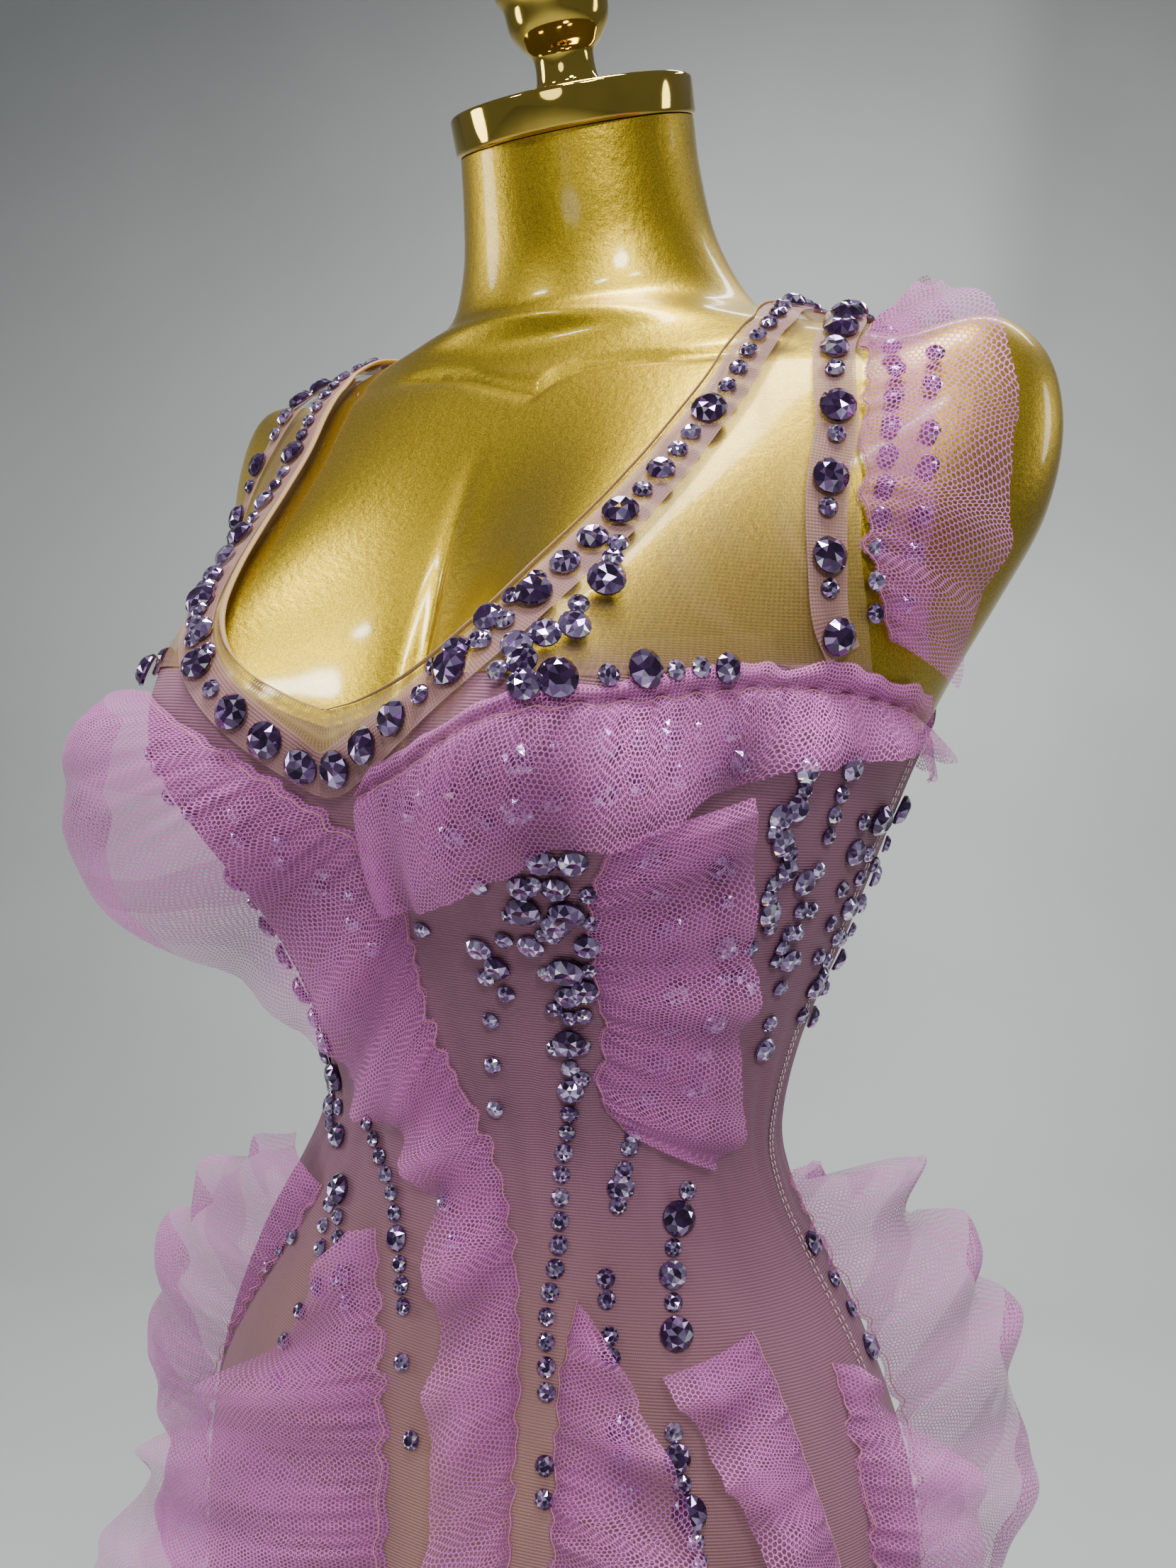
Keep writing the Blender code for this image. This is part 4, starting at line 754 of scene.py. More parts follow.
def tulle(settings):
    """Two layers of hexagonal net that cross in a slow moire, with laps of a third and a single border;
    painted shade darkens the net in the fold valleys and a painted highlight lightens it on the crests.
    """
    paint = Paint("orchid_tulle_net")
    along, across, single = paint.place("weave")
    painted_fold_light = paint.number("tone")
    pitch, thread = settings.net_pitch, settings.net_thread
    over = hex_net(paint, along, across, pitch, thread)
    turned = math.radians(11)
    under = hex_net(paint, along * math.cos(turned) + across * math.sin(turned),
                    across * math.cos(turned) - along * math.sin(turned), pitch, thread)
    soft = paint.noise(paint.vector(along, across), 34.0, 3.0)
    laps = paint.noise(paint.vector(along + across * 0.6, across * 0.25 - along * 0.1, 0.7), 30.0, 1.0)
    lap = laps.between(0.53, 0.555) * (1 - single)
    closed = 1 - (1 - over) * (1 - 0.55 * under * (1 - single))
    haze = settings.net_haze * (1.35 - 0.7 * painted_fold_light) * (0.75 + 0.5 * soft) * (1 - 0.55 * single) + 0.22 * lap
    alpha = haze + (1 - haze) * closed * (0.84 + 0.16 * soft)
    # painted shade and highlight: the gaps and threads are darker in the fold valleys and lighter on the
    # fold crests
    gap = paint.mix(painted_fold_light, scaled(settings.tulle_colour, 0.22),
                    scaled(settings.tulle_colour, 0.62))
    threads = paint.mix(painted_fold_light, scaled(settings.tulle_colour, 0.62),
                        scaled(settings.tulle_colour, 1.30))
    base = paint.mix(closed, gap, threads)
    base = paint.mix(0.22 * lap, base, scaled(settings.tulle_colour, 0.5))
    return paint.finish(base_color=base, alpha=alpha.least(1.0), roughness=0.8, sheen_weight=0.10,
                        sheen_roughness=0.35)


def crystal(settings):
    """Foiled cut stones: each facet has its own tone under a hard gloss; the tones mix each stone's own
    lightness with painted reflections on its facets, and the near-white tones are painted glints.
    """
    paint = Paint("cut_stone")
    tone = paint.number("tone")
    dark, lilac = settings.stone_dark, settings.stone_light
    # ramp from dark amethyst to near white; its pale end carries the painted reflections and glints
    ramp = paint.node("ShaderNodeValToRGB", {"stops": (
        (0.0, scaled(dark, 0.35)), (0.35, dark), (0.62, lilac), (0.86, scaled(lilac, 1.5)),
        (1.0, (0.96, 0.93, 1.0)))}, {"Fac": tone})
    return paint.finish(base_color=ramp.out("Color"), metallic=0.85, roughness=0.07, coat_weight=1.0,
                        coat_roughness=0.02)


def thread_finish(name, colour):
    """Twisted sewing thread."""
    paint = Paint(name)
    along, round_it, _ = paint.place("weave")
    twist = (along * (math.tau / 0.0007) + round_it * math.tau).sine() * 0.5 + 0.5
    base = paint.mix(twist, scaled(colour, 0.75), colour)
    return paint.finish(base_color=base, roughness=0.6, normal=paint.bump(twist, 0.0001, 0.8))


def binding_finish(settings):
    """Nude binding tape."""
    paint = Paint("nude_binding")
    along, across, _ = paint.place("weave")
    ribs = along.ribs(0.0009)
    base = paint.mix(0.4 * ribs, settings.binding_colour, scaled(settings.binding_colour, 0.7))
    return paint.finish(base_color=base, roughness=0.55, alpha=0.94 + 0.06 * ribs,
                        normal=paint.bump(ribs, 0.0002, 0.6))


def wall_paint(settings, look):
    """Matt wall paint with painted light: darker towards the top as painted shade, with one soft painted
    shadow at the top right and a faint mottle.
    """
    paint = Paint("pale_sweep")
    x, y, z = paint.split(paint.point())
    right = x * math.cos(look) + y * math.sin(look)
    patch = paint.noise(paint.point(), 0.9, 3.0)
    # painted shadow: a soft dark patch at the top right
    shade = right.between(1.10, 1.45) * z.between(1.7, 2.4)
    # painted shade: darker towards the top, plus the painted shadow and a faint mottle
    dim = 0.26 * z.between(1.2, 3.4) + 0.26 * shade + 0.14 * patch.between(0.3, 0.8)
    base = paint.mix(dim, settings.wall_colour, scaled(settings.wall_colour, 0.30))
    return paint.finish(base_color=base, roughness=0.85)


# Pieces
def creases(angle, height, x):
    """How deep the form's creases are: one under the collar bones and one between the cups."""
    line, depth = np.array(COLLAR_CREASE).T, np.array(CLEFT).T
    fade = ease((angle - line[0, 0]) / 8) * ease((line[0, -1] - angle) / 6)
    away = (height - np.interp(angle, line[0], line[1])) / COLLAR_REACH
    collar = COLLAR_DEPTH * fade * np.exp(-away ** 2)
    front = np.abs(angle) < 30
    cleft = np.where(front, np.interp(height, depth[0], depth[1]) * np.exp(-(x / CLEFT_REACH) ** 2), 0)
    return collar + cleft


def build_form(settings):
    """Smooth torso and neck in gold paint, with more columns at the front."""
    columns, rows = 288, 296
    heights = np.concatenate([[FORM_BOTTOM, FORM_BOTTOM + 0.0012, FORM_BOTTOM + 0.004, FORM_BOTTOM + 0.010],
                              np.linspace(FORM_BOTTOM + 0.014, BODY_RINGS[-1][0], rows)])
    shrink = np.concatenate([[0.955, 0.975, 0.992, 1.0], np.ones(rows)])
    turn = np.linspace(-math.pi, math.pi, columns, endpoint=False)
    angles = np.degrees(turn - 0.55 * np.sin(turn))
    rings = body_points(angles[None], heights[:, None], BARE_VALLEY)
    normal = frames_on(angles[None], heights[:, None])[3]
    rings = rings - creases(angles[None], heights[:, None], rings[..., 0])[..., None] * normal
    rings[..., :2] *= shrink[:, None, None]
    points = np.vstack([rings.reshape(-1, 3), rings[0].mean(0), rings[-1].mean(0)])
    form = mesh_object("form_skin", points, capped_rings(len(heights), columns), gold_paint(settings))
    form.data.set_sharp_from_angle(angle=math.radians(50))
    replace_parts(form, "form_torso")


def neck_place(rise):
    """Place on the leaning neck's axis at a height above its top."""
    height, centre, _, _, _, tilt = BODY_RINGS[-1]
    lean = math.radians(tilt)
    axis = Vector((0, -math.sin(lean), math.cos(lean)))
    return Matrix.Translation(Vector((0, centre, height)) + axis * rise) @ Matrix.Rotation(lean, 4, "X")


def build_hardware(settings):
    """Polished neck cap, finial, collar, pole and base."""
    plate = polished_gold(settings)
    r, h, b = NECK_CAP_RADIUS, NECK_CAP_HEIGHT, 0.0009
    cap = [(r - b * 2.2, 0), (r - b, 0.0002), (r - 0.25 * b, b), (r, 2 * b), (r, h - 2 * b),
           (r - 0.2 * b, h - b), (r - b, h - 0.2 * b), (r - 2 * b, h), (r * 0.55, h), (r * 0.3, h)]
    low, high = BASE_HEIGHT + SEAT_GAP, FORM_BOTTOM - COLLAR_HEIGHT - 2 * SEAT_GAP
    for name, node, profile, sides, place in (
            ("neck_plate", "neck_cap", cap, 128, neck_place(SEAT_GAP)),
            ("finial_turning", "neck_finial", finer(FINIAL_PROFILE, 6), 96,
             neck_place(2 * SEAT_GAP + NECK_CAP_HEIGHT)),
            ("base_turning", "stand_base", finer(BASE_PROFILE, 5), 160, None),
            ("collar_turning", "stand_collar", finer(COLLAR_PROFILE, 5), 96,
             Matrix.Translation((0, 0, FORM_BOTTOM - SEAT_GAP))),
            ("pole_turning", "stand_pole", [(POLE_RADIUS, low), (POLE_RADIUS, high)], 64, None)):
        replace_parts(turned_object(name, profile, sides, plate, place), node)


def declare(grid):
    """Works out a flat cut for a sheet, as long and wide as its grid and widened to fit its measured area,
    but keeps nothing of it.
    """
    area = grid_area(grid)
    width = max(float(walked(grid[:, k]).max()) for k in range(0, grid.shape[1], max(1, grid.shape[1] // 6)))
    length = max(float(walked(grid[j]).max()) for j in range(0, grid.shape[0], max(1, grid.shape[0] // 12)))
    if area > 0.999 * width * length:
        width = area / (0.999 * length)


def build_panels(settings):
    """Front and back of the body mesh, with soft pull lines at the waist and hips."""
    cloth = body_mesh(settings)
    for part, first, last, edge in (
            ("front", -SIDE_SEAM + SEAM_GAP, SIDE_SEAM - SEAM_GAP, FRONT_TOP),
            ("back", SIDE_SEAM + SEAM_GAP, 360 - SIDE_SEAM - SEAM_GAP, BACK_TOP)):
        angles = np.linspace(first, last, 201)
        top = edge_height(edge, np.where(angles > 180, 360 - angles, np.abs(angles)))
        t = np.linspace(0, 1, 241)[:, None]
        heights = HEM + (top[None] - HEM) * t
        angle = np.broadcast_to(angles[None], heights.shape)
        pull = 0.0005 * np.sin(angle * 0.9 + 60 * heights) * hill(heights, 1.07, 0.05)
        grid = surface(angle, heights, CLOTH_GAP + 0.4 * CLOTH + pull)
        along = np.radians(angle) * 0.13
        stretch = 0.75 * hill(heights, 0.93, 0.085) * hill(angle, 20, 40)
        stretch = stretch + 0.18 * hill(heights, 0.955, 0.05) * hill(angle, -35, 18)
        weave = np.stack([along, heights, stretch], -1)
        piece = cloth_object(f"{part}_body_mesh", grid, weave, cloth)
        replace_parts(piece, f"{part}_panel")
        declare(grid)


def yoke_points(table, edge, side):
    """Grid of one yoke."""
    place = smooth_rows(table, np.linspace(0, len(table) - 1, 121))
    t = np.linspace(0, 1, 51)[None]
    angle = place[:, :1] + t * (place[:, 2:3] - place[:, :1])
    height = place[:, 1:2] + t * (place[:, 3:4] - place[:, 1:2])
    height[0] = edge_height(edge, angle[0]) + SEAT_GAP
    folds = 0.0006 * np.sin(18 * t + 14 * place[:, 1:2]) * np.sin(math.pi * t)
    return surface(side * angle, height, YOKE_GAP + 0.4 * CLOTH + folds)


def build_yokes(settings):
    """Sheer yokes from the bust line over each shoulder."""
    cloth = yoke_mesh(settings)
    for side, word in ((1, "left"), (-1, "right")):
        for part, table, edge, rests in (("front", FRONT_YOKE, FRONT_TOP, "front_body_mesh"),
                                         ("back", BACK_YOKE, BACK_TOP, "back_body_mesh")):
            grid = yoke_points(table, edge, side)
            rows = np.linspace(0, 1, grid.shape[0])[:, None]
            along = np.broadcast_to(np.linspace(0, 0.09, grid.shape[1])[None], grid.shape[:2])
            up = np.broadcast_to(rows * walked(grid[:, grid.shape[1] // 2])[-1], grid.shape[:2])
            edge_share = np.broadcast_to(np.exp(-rows * 26), grid.shape[:2])
            weave = np.stack([along, up, edge_share], -1)
            piece = cloth_object(f"{part}_sheer_yoke_{word}", grid, weave, cloth)
            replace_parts(piece, f"{part}_yoke_{word}")
            declare(grid)


def band_points(knots, out):
    """Grid of a band laid along a path."""
    angle, height = spaced_path(knots, out)
    ahead = np.gradient(surface(angle, height, out), axis=0)
    side = unit(np.cross(frames_on(angle, height)[3], ahead)) * BAND_WIDTH
    return np.stack([surface(*step_on(angle, height, side * share), out)
                     for share in np.linspace(-0.5, 0.5, 7)], 1)


def band_weave(grid):
    """Cloth coordinates along and across a band."""
    along = walked(grid[:, grid.shape[1] // 2])
    return np.stack(np.broadcast_arrays(along[:, None], walked(grid[0])[None], 0.0), -1)


def build_bands(settings):
    """Denser bands along the neckline, the bust line and the armholes."""
    doubled, sheer = band_mesh(settings), yoke_mesh(settings, 0.3)
    bands = [("neckline_band", "neckline_mesh_band", WHOLE_NECKLINE, doubled)]
    for side, word in ((1, "left"), (-1, "right")):
        for part, path, cloth in (("bust", BUST_BAND, sheer), ("armhole", ARMHOLE_BAND, doubled)):
            bands.append((f"{part}_band_{word}", f"{part}_mesh_band_{word}", mirrored(path, side), cloth))
    for node, name, path, cloth in bands:
        grid = band_points(path, YOKE_OUT + BAND_GAP + 0.3 * BAND_CLOTH)
        piece = cloth_object(name, grid, band_weave(grid), cloth)
        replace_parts(piece, node)
        declare(grid)


RUFFLE_ACROSS = 44
# share of a ruffle's depth at which its upper layer ends, where it isn't SINGLE_BORDER
SINGLE_FROM = {"armhole_ruffle": 0.42, "bust_ruffle": 0.80}
SINGLE_BORDER = 0.74
# how far a ruffle's heading stands up from its seam, how much more it does, and from which angle on
HEADING = {"bust_ruffle": (0.0062, 0.0033, 30.0)}


def soft_waves(run, t, rng, low, high, slant=1.2, hangs=False):
    """Irregular waves along a seam, the longer ones higher; their crests slide or hang down to the edge."""
    total = 0.0
    for rate in np.geomspace(low, high, 5):
        rate = rate * rng.uniform(0.84, 1.19)
        phase, slide = rng.uniform(0, math.tau), rng.uniform(-slant, slant)
        slide = -abs(slide) - 0.4 * slant if hangs else slide
        total = total + np.sin(math.tau * rate * run + phase + slide * t) * low / rate
    return total


def ruffle_points(shape, seed, single, heading=None):
    """Grid of a ruffle: puckers at its seam that open into soft folds and the broad waves of its solid, with
    its cloth coordinates and the painted light and shade of its folds.
    """
    rows, foot = shape["rows"], shape["foot"]
    rng = np.random.default_rng(seed)
    spine = smooth_rows(rows, np.linspace(0, len(rows) - 1, 400))
    length = walked(surface(spine[:, 0], spine[:, 1], 0.004))
    along = int(np.clip(length[-1] / 0.0014, 120, 440))
    s = np.linspace(0, 1, along + 1)
    seam = smooth_rows(rows, s * (len(rows) - 1))
    run = np.interp(s * (len(rows) - 1), np.linspace(0, len(rows) - 1, 400), length)[:, None]
    s = s[:, None]
    t = np.linspace(0, 1, RUFFLE_ACROSS + 1)[None]
    angle = seam[:, 0:1] + t * (seam[:, 2:3] - seam[:, 0:1])
    height = seam[:, 1:2] + t * (seam[:, 3:4] - seam[:, 1:2])
    low = PANEL_OUT - 0.0004 + 0.4 * foot + (0.0006 + 0.6 * foot) * ease(t / 0.12)
    rise = low + (seam[:, 4:5] - low) * np.sin(0.5 * math.pi * t)
    calm = ease(s / 0.07) * ease((1 - s) / 0.07)
    broad = math.tau * shape["waves"] * s + 1.1 * np.sin(math.tau * 1.7 * s + seed)
    wave = 0.8 * shape["swing"] * t * calm * np.sin(broad + 0.8 * t)
    hangs = rows[0][1] - rows[-1][1] > 0.12
    folds = soft_waves(run, t, rng, 13, 44, 4.2 if hangs else 2.2, hangs) * (0.3 + 0.7 * calm)
    fold = (0.0017 + 0.14 * shape["swing"]) * t ** 0.8 * folds
    pucker = 0.013 * t * np.exp(-11.0 * t) * (1.4 + soft_waves(run, t, rng, 95, 210, 3.0))
    grid = surface(angle, height, np.maximum(rise + wave + fold, low) + np.maximum(pucker, 0))
    line = unit(np.gradient(grid, axis=0))
    sway = 0.0016 * t * soft_waves(run, t, rng, 15, 50, 2.4)
    sway = sway + 0.25 * shape["swing"] * t * np.sin(2 * broad + 0.5)
    grid = grid + (sway * calm)[..., None] * line
    ragged = 0.0011 * calm * soft_waves(run, 0 * t, rng, 20, 150) * t ** 5
    gathered = 0.0010 * calm * soft_waves(run, 0 * t, rng, 55, 120) * np.exp(-9 * t)
    grid = grid + (ragged + gathered)[..., None] * unit(np.gradient(grid, axis=1))
    # painted light and shade of the folds: lighter on the crests, darker in the valleys and near the seam
    painted_fold_light = 0.60 + 0.28 * folds * t ** 0.5 + 0.34 * np.sin(broad + 0.8 * t) * t - 0.36 * np.exp(-6 * t)
    # painted shade low on the body, darker below 1.02 m, standing also for the extra layers there
    painted_fold_light = painted_fold_light - 0.16 * ease((1.02 - height) / 0.08)
    ends = single + 0.03 * soft_waves(run, 0 * t, rng, 12, 60)
    bare = np.clip((t - ends) / 0.03, 0, 1) * (1.0 if single < 0.5 else 0.6)
    if heading:
        up = heading[0] + heading[1] * ease((seam[:, 0:1] - heading[2]) / 16)
        up = up * calm ** 0.5 * (1 + 0.14 * soft_waves(run, 0, rng, 18, 70))
        share = np.linspace(1, 0.15, 7)[None]
        top = surface(seam[:, 0:1] + 0 * share, seam[:, 1:2] + up * share,
                      low[:, :1] + 0.0026 * np.sin(math.pi * (1 - share)) + 0.0004 * share)
        grid = np.concatenate([top, grid], 1)
        # painted light of the heading: lighter at its top, darker down at its seam
        painted_fold_light = np.concatenate([0.35 + 0.4 * share + 0 * seam[:, :1], painted_fold_light], 1)
        bare = np.concatenate([0 * share + 0 * seam[:, :1], bare], 1)
    steps = np.linalg.norm(np.diff(grid, axis=1), axis=-1)
    across = np.concatenate([np.zeros((len(grid), 1)), np.cumsum(steps, 1)], 1)
    weave = np.stack(np.broadcast_arrays(run * 1.25, across, bare), -1)
    return grid, weave, np.clip(painted_fold_light, 0, 1)


def build_ruffles(settings):
    """Gathered ruffles and cascades of double tulle."""
    cloth = tulle(settings)
    threads = []
    for seed, (name, shape) in enumerate(RUFFLES.items()):
        single = SINGLE_FROM.get(name, SINGLE_BORDER)
        grid, weave, painted_fold_light = ruffle_points(shape, seed + settings.fold_seed, single, HEADING.get(name))
        # the tulle's faces carry the painted light of its folds as their tone
        piece = cloth_object(f"{name}_tulle", grid, weave, cloth, painted_fold_light)
        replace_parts(piece, name)
        declare(grid)
        threads.append(grid[:, grid.shape[1] - RUFFLE_ACROSS])
    tubes_object("gathering_threads", threads, 0.00028, 5,
                 thread_finish("gathering_thread", tuple(settings.thread_colour)))


# a stone's facets above its girdle, and the tones of each run of five of them, which are painted reflections
CROWN_FACETS = 40
FACET_PAINTED_REFLECTION = (0.08, 0.42, 0.18, 0.30, 0.22)


def stone_shape(radius, height):
    """Points and faces of a round brilliant's upper part."""
    turn8, turn16 = np.radians(np.arange(8) * 45.0), np.radians(np.arange(16) * 22.5)
    rings = [(0.52, 1.00, turn8), (0.74, 0.80, turn8 + math.radians(22.5)), (0.98, 0.30, turn16),
             (1.00, 0.12, turn16), (0.93, -0.12, turn16)]
    points = []
    for share, rise, turns in rings:
        wide = radius * share
        points += [(wide * math.cos(a), wide * math.sin(a), height * rise) for a in turns]
    points.append((0, 0, height * 0.86))
    table, mid, high, low, foot, eye = 0, 8, 16, 32, 48, 64
    faces = []
    for k in range(8):
        n = (k + 1) % 8
        faces.append((eye, table + k, table + n))
        faces.append((table + k, mid + k, table + n))
        faces.append((table + k, mid + (k - 1) % 8, high + 2 * k, mid + k))
        faces.append((mid + k, high + 2 * k, high + 2 * k + 1))
        faces.append((mid + k, high + 2 * k + 1, high + (2 * k + 2) % 16))
    for k in range(16):
        n = (k + 1) % 16
        faces.append((high + k, low + k, low + n, high + n))
        faces.append((low + k, foot + k, foot + n, low + n))
    faces.append(tuple(foot + k for k in range(15, -1, -1)))
    return np.array(points), faces


def stones_object(name, places, out, material, rng):
    """Cut stones at their places, joined into one piece, each facet with a tone of its own: the stone's own
    lightness plus a painted reflection.
    """
    points, faces, tones, start = [], [], [], 0
    for angle, height, letter in places:
        size = STONE_SIZE[letter] * rng.uniform(0.96, 1.03)
        tall = size * 0.30
        shape, cuts = stone_shape(size / 2, tall)
        centre, across, up, normal = frames_on(angle, height)
        lean = unit(normal + across * rng.uniform(-0.10, 0.10) + up * rng.uniform(-0.10, 0.10))
        side = unit(np.cross(up, lean))
        over = np.cross(lean, side)
        spin = rng.uniform(0, math.tau)
        x_axis = side * math.cos(spin) + over * math.sin(spin)
        y_axis = np.cross(lean, x_axis)
        seat = centre + normal * (out + tall * 0.12)
        points.append(seat + shape @ np.stack([x_axis, y_axis, lean]))
        faces += [tuple(start + k for k in cut) for cut in cuts]
        pale = rng.uniform(0.0, 0.10) if letter == "L" else rng.uniform(0.10, 0.42)
        for index in range(len(cuts)):
            if index < CROWN_FACETS:
                # crown facets: the stone's own lightness, a painted reflection for each facet and, on a few,
                # a painted glint
                tone = pale + FACET_PAINTED_REFLECTION[index % 5] + rng.normal(0, 0.20) + (rng.random() < 0.08) * 0.6
            else:
                tone = pale + 0.10 + rng.normal(0, 0.08)
            tones.append(float(np.clip(tone, 0, 1)))
        start += len(shape)
    mesh_object(name, np.vstack(points), faces, material, tone=tones, smooth=False)


def build_stones(settings):
    """Every set stone: on the bands, in the chains and in the clusters."""
    material = crystal(settings)
    rng = np.random.default_rng(settings.stone_seed)
    neckline = chain_places(WHOLE_NECKLINE, NECKLINE_STONES[::-1] + NECKLINE_STONES, BAND_OUT)
    stones_object("neckline_stones", neckline, BAND_OUT, material, rng)
    sides = []
    for side in (1, -1):
        sides += mirrored(BUST_LINE_STONES, side)
        sides += chain_places(mirrored(ARMHOLE_BAND, side), ARMHOLE_STONES, BAND_OUT)
    stones_object("armhole_stones", sides, BAND_OUT, material, rng)
    body = []
    for knots, stones in STONE_CHAINS + SMALL_CHAINS + COVERED_CHAINS:
        body += chain_places(knots, stones, PANEL_OUT)
    stones_object("body_stones", body + list(SINGLE_STONES), PANEL_OUT, material, rng)
    stones_object("cluster_stones", CLUSTER_STONES, BAND_OUT + 0.0004, material, rng)


def build_trims(settings):
    """Nude neckline binding with its inset at the front, and the side seams' pale double stitching."""
    angle, height = spaced_path(WHOLE_NECKLINE, BAND_OUT)
    normal = frames_on(angle, height)[3]
    side = unit(np.cross(normal, np.gradient(surface(angle, height, BAND_OUT), axis=0)))
    turn_in = np.exp(-(angle / 4.0) ** 2)[:, None]
    inward = unit(side * (1 - turn_in) + np.array([0, 0, 1.0]) * turn_in)
    inward = inward * (0.0005 + INSET_DEPTH * np.exp(-np.abs(angle) / INSET_REACH)[:, None] + 0.0025)
    start = side * 0.35 * BAND_WIDTH
    grid = np.stack([surface(*step_on(angle, height, start + inward * share), YOKE_OUT)
                     for share in np.linspace(0, 1, 9)], 1)[np.abs(angle) < 40]
    nude = yoke_mesh(settings, 2.3, 0.1)
    inset = cloth_object("neckline_inset", grid, band_weave(grid), nude)
    declare(grid)
    middle = surface(*step_on(angle, height, start + inward), BAND_OUT - 0.0007)
    over = unit(np.cross(normal, np.gradient(middle, axis=0)))
    width = (0.0003 + 0.0020 * ease((-angle - 16) / 15))[:, None, None]
    sides = 10
    turn = np.linspace(0, math.tau, sides, endpoint=False)[None, :, None]
    roll = middle[:, None] + width * np.cos(turn) * over[:, None] + 0.0009 * np.sin(turn) * normal[:, None]
    mesh_object("neckline_binding", roll.reshape(-1, 3), tube_faces(len(middle), sides),
                binding_finish(settings), weave=tube_weave(middle, sides, 0.0007))
    stitches = []
    for side_angle in (SIDE_SEAM, -SIDE_SEAM):
        for offset in (-0.0022, 0.0022):
            for low in np.arange(HEM + 0.004, 1.232, 0.0030):
                heights = np.linspace(low, low + 0.0021, 4)
                angles = np.full(4, side_angle) + np.degrees(offset / 0.155)
                lift = PANEL_OUT + np.array([0.0001, 0.0004, 0.0004, 0.0001])
                stitches.append(surface(angles, heights, lift))
    tubes_object("side_seam_stitches", stitches, 0.00026, 4,
                 thread_finish("pale_stitch_thread", (0.80, 0.62, 0.62)))


# Stage
# name, place, size, power and aim of each light, all aimed at the dress but the wall's
MIDDLE = (0, -0.03, 1.15)
CARDS = (
    ("top_card", (0.2, -0.5, 3.0), (0.9, 0.6), 54, MIDDLE),
    ("key_card", (1.5, -2.0, 2.5), (0.5, 0.35), 36, MIDDLE),
    ("window_card", (-2.1, -1.0, 1.5), (0.6, 1.5), 20, MIDDLE),
    ("near_card", (0.6, -2.9, 1.0), (1.0, 0.6), 5, MIDDLE),
    ("rim_card", (1.9, 1.1, 2.1), (0.4, 0.9), 6, MIDDLE),
    ("wall_card", (0.2, 1.4, 3.2), (2.2, 0.8), 75, (0.0, 3.2, 0.9)),
    ("strip_card", (0.55, -1.7, 2.55), (0.30, 0.07), 6, MIDDLE),
    ("strip_card", (1.25, -1.35, 2.75), (0.30, 0.07), 6, MIDDLE),
    ("strip_card", (-0.75, -1.7, 2.35), (0.30, 0.07), 6, MIDDLE),
)


def card(name, place, size, strength, aim):
    """Soft light that looks at a point."""
    light = bpy.data.lights.new(name, "AREA")
    light.shape = "ELLIPSE"
    light.size, light.size_y = size
    light.energy = strength
    lamp = bpy.data.objects.new(name, light)
    lamp.location = place
    lamp.rotation_euler = (Vector(aim) - Vector(place)).to_track_quat("-Z", "Y").to_euler()
    bpy.context.scene.collection.objects.link(lamp)


def build_stage(settings):
    """Pale floor and wall, soft light and the camera."""
    look = math.radians(30)
    turns = np.linspace(0, 0.5 * math.pi, 17)
    reach, front, high, bend = 3.4, 4.0, 4.2, 1.2
    curve = [(reach - bend + bend * math.sin(a), bend - bend * math.cos(a)) for a in turns]
    profile = [(-front, 0.0), *curve, (reach, high)]
    points, faces = [], []
    for x in np.linspace(-5, 5, 21):
        points += [(x, y, z) for y, z in profile]
    for j in range(20):
        for k in range(len(profile) - 1):
            a = j * len(profile) + k
            faces.append((a, a + len(profile), a + len(profile) + 1, a + 1))
    mesh = bpy.data.meshes.new("sweep")
    turn = Matrix.Rotation(look, 4, "Z")
    mesh.from_pydata([tuple(turn @ Vector(p)) for p in points], [], faces)
    mesh.materials.append(wall_paint(settings, look))
    mesh.shade_smooth()
    sweep = bpy.data.objects.new("sweep", mesh)
    bpy.context.scene.collection.objects.link(sweep)

    for row in CARDS:
        card(*row)
    world = bpy.data.worlds.new("studio_world")
    world.use_nodes = True
    sky = world.node_tree.nodes["Background"].inputs
    sky["Color"].default_value = (0.80, 0.84, 0.88, 1.0)
    sky["Strength"].default_value = 0.19
    bpy.context.scene.world = world

    data = bpy.data.cameras.new("photo_camera")
    data.lens = settings.lens
    data.sensor_width = 36.0
    data.clip_start = 0.02
    camera = bpy.data.objects.new("photo_camera", data)
    bpy.context.scene.collection.objects.link(camera)
    roll = settings.camera_roll
    right = Vector((math.cos(look), math.sin(look), 0))
    up = Vector((0, 0, 1))
    x_axis = right * math.cos(roll) + up * math.sin(roll)
    y_axis = up * math.cos(roll) - right * math.sin(roll)
    back = x_axis.cross(y_axis)
    camera.matrix_world = Matrix.Translation(settings.camera_place) @ Matrix(
        (x_axis, y_axis, back)).transposed().to_4x4()
    bpy.context.scene.camera = camera


# Settings, operators and panel
def colour_property(name, words, value):
    """Colour that a user can change."""
    return FloatVectorProperty(name=name, description=words, default=value, subtype="COLOR", size=3,
                               min=0, max=1)


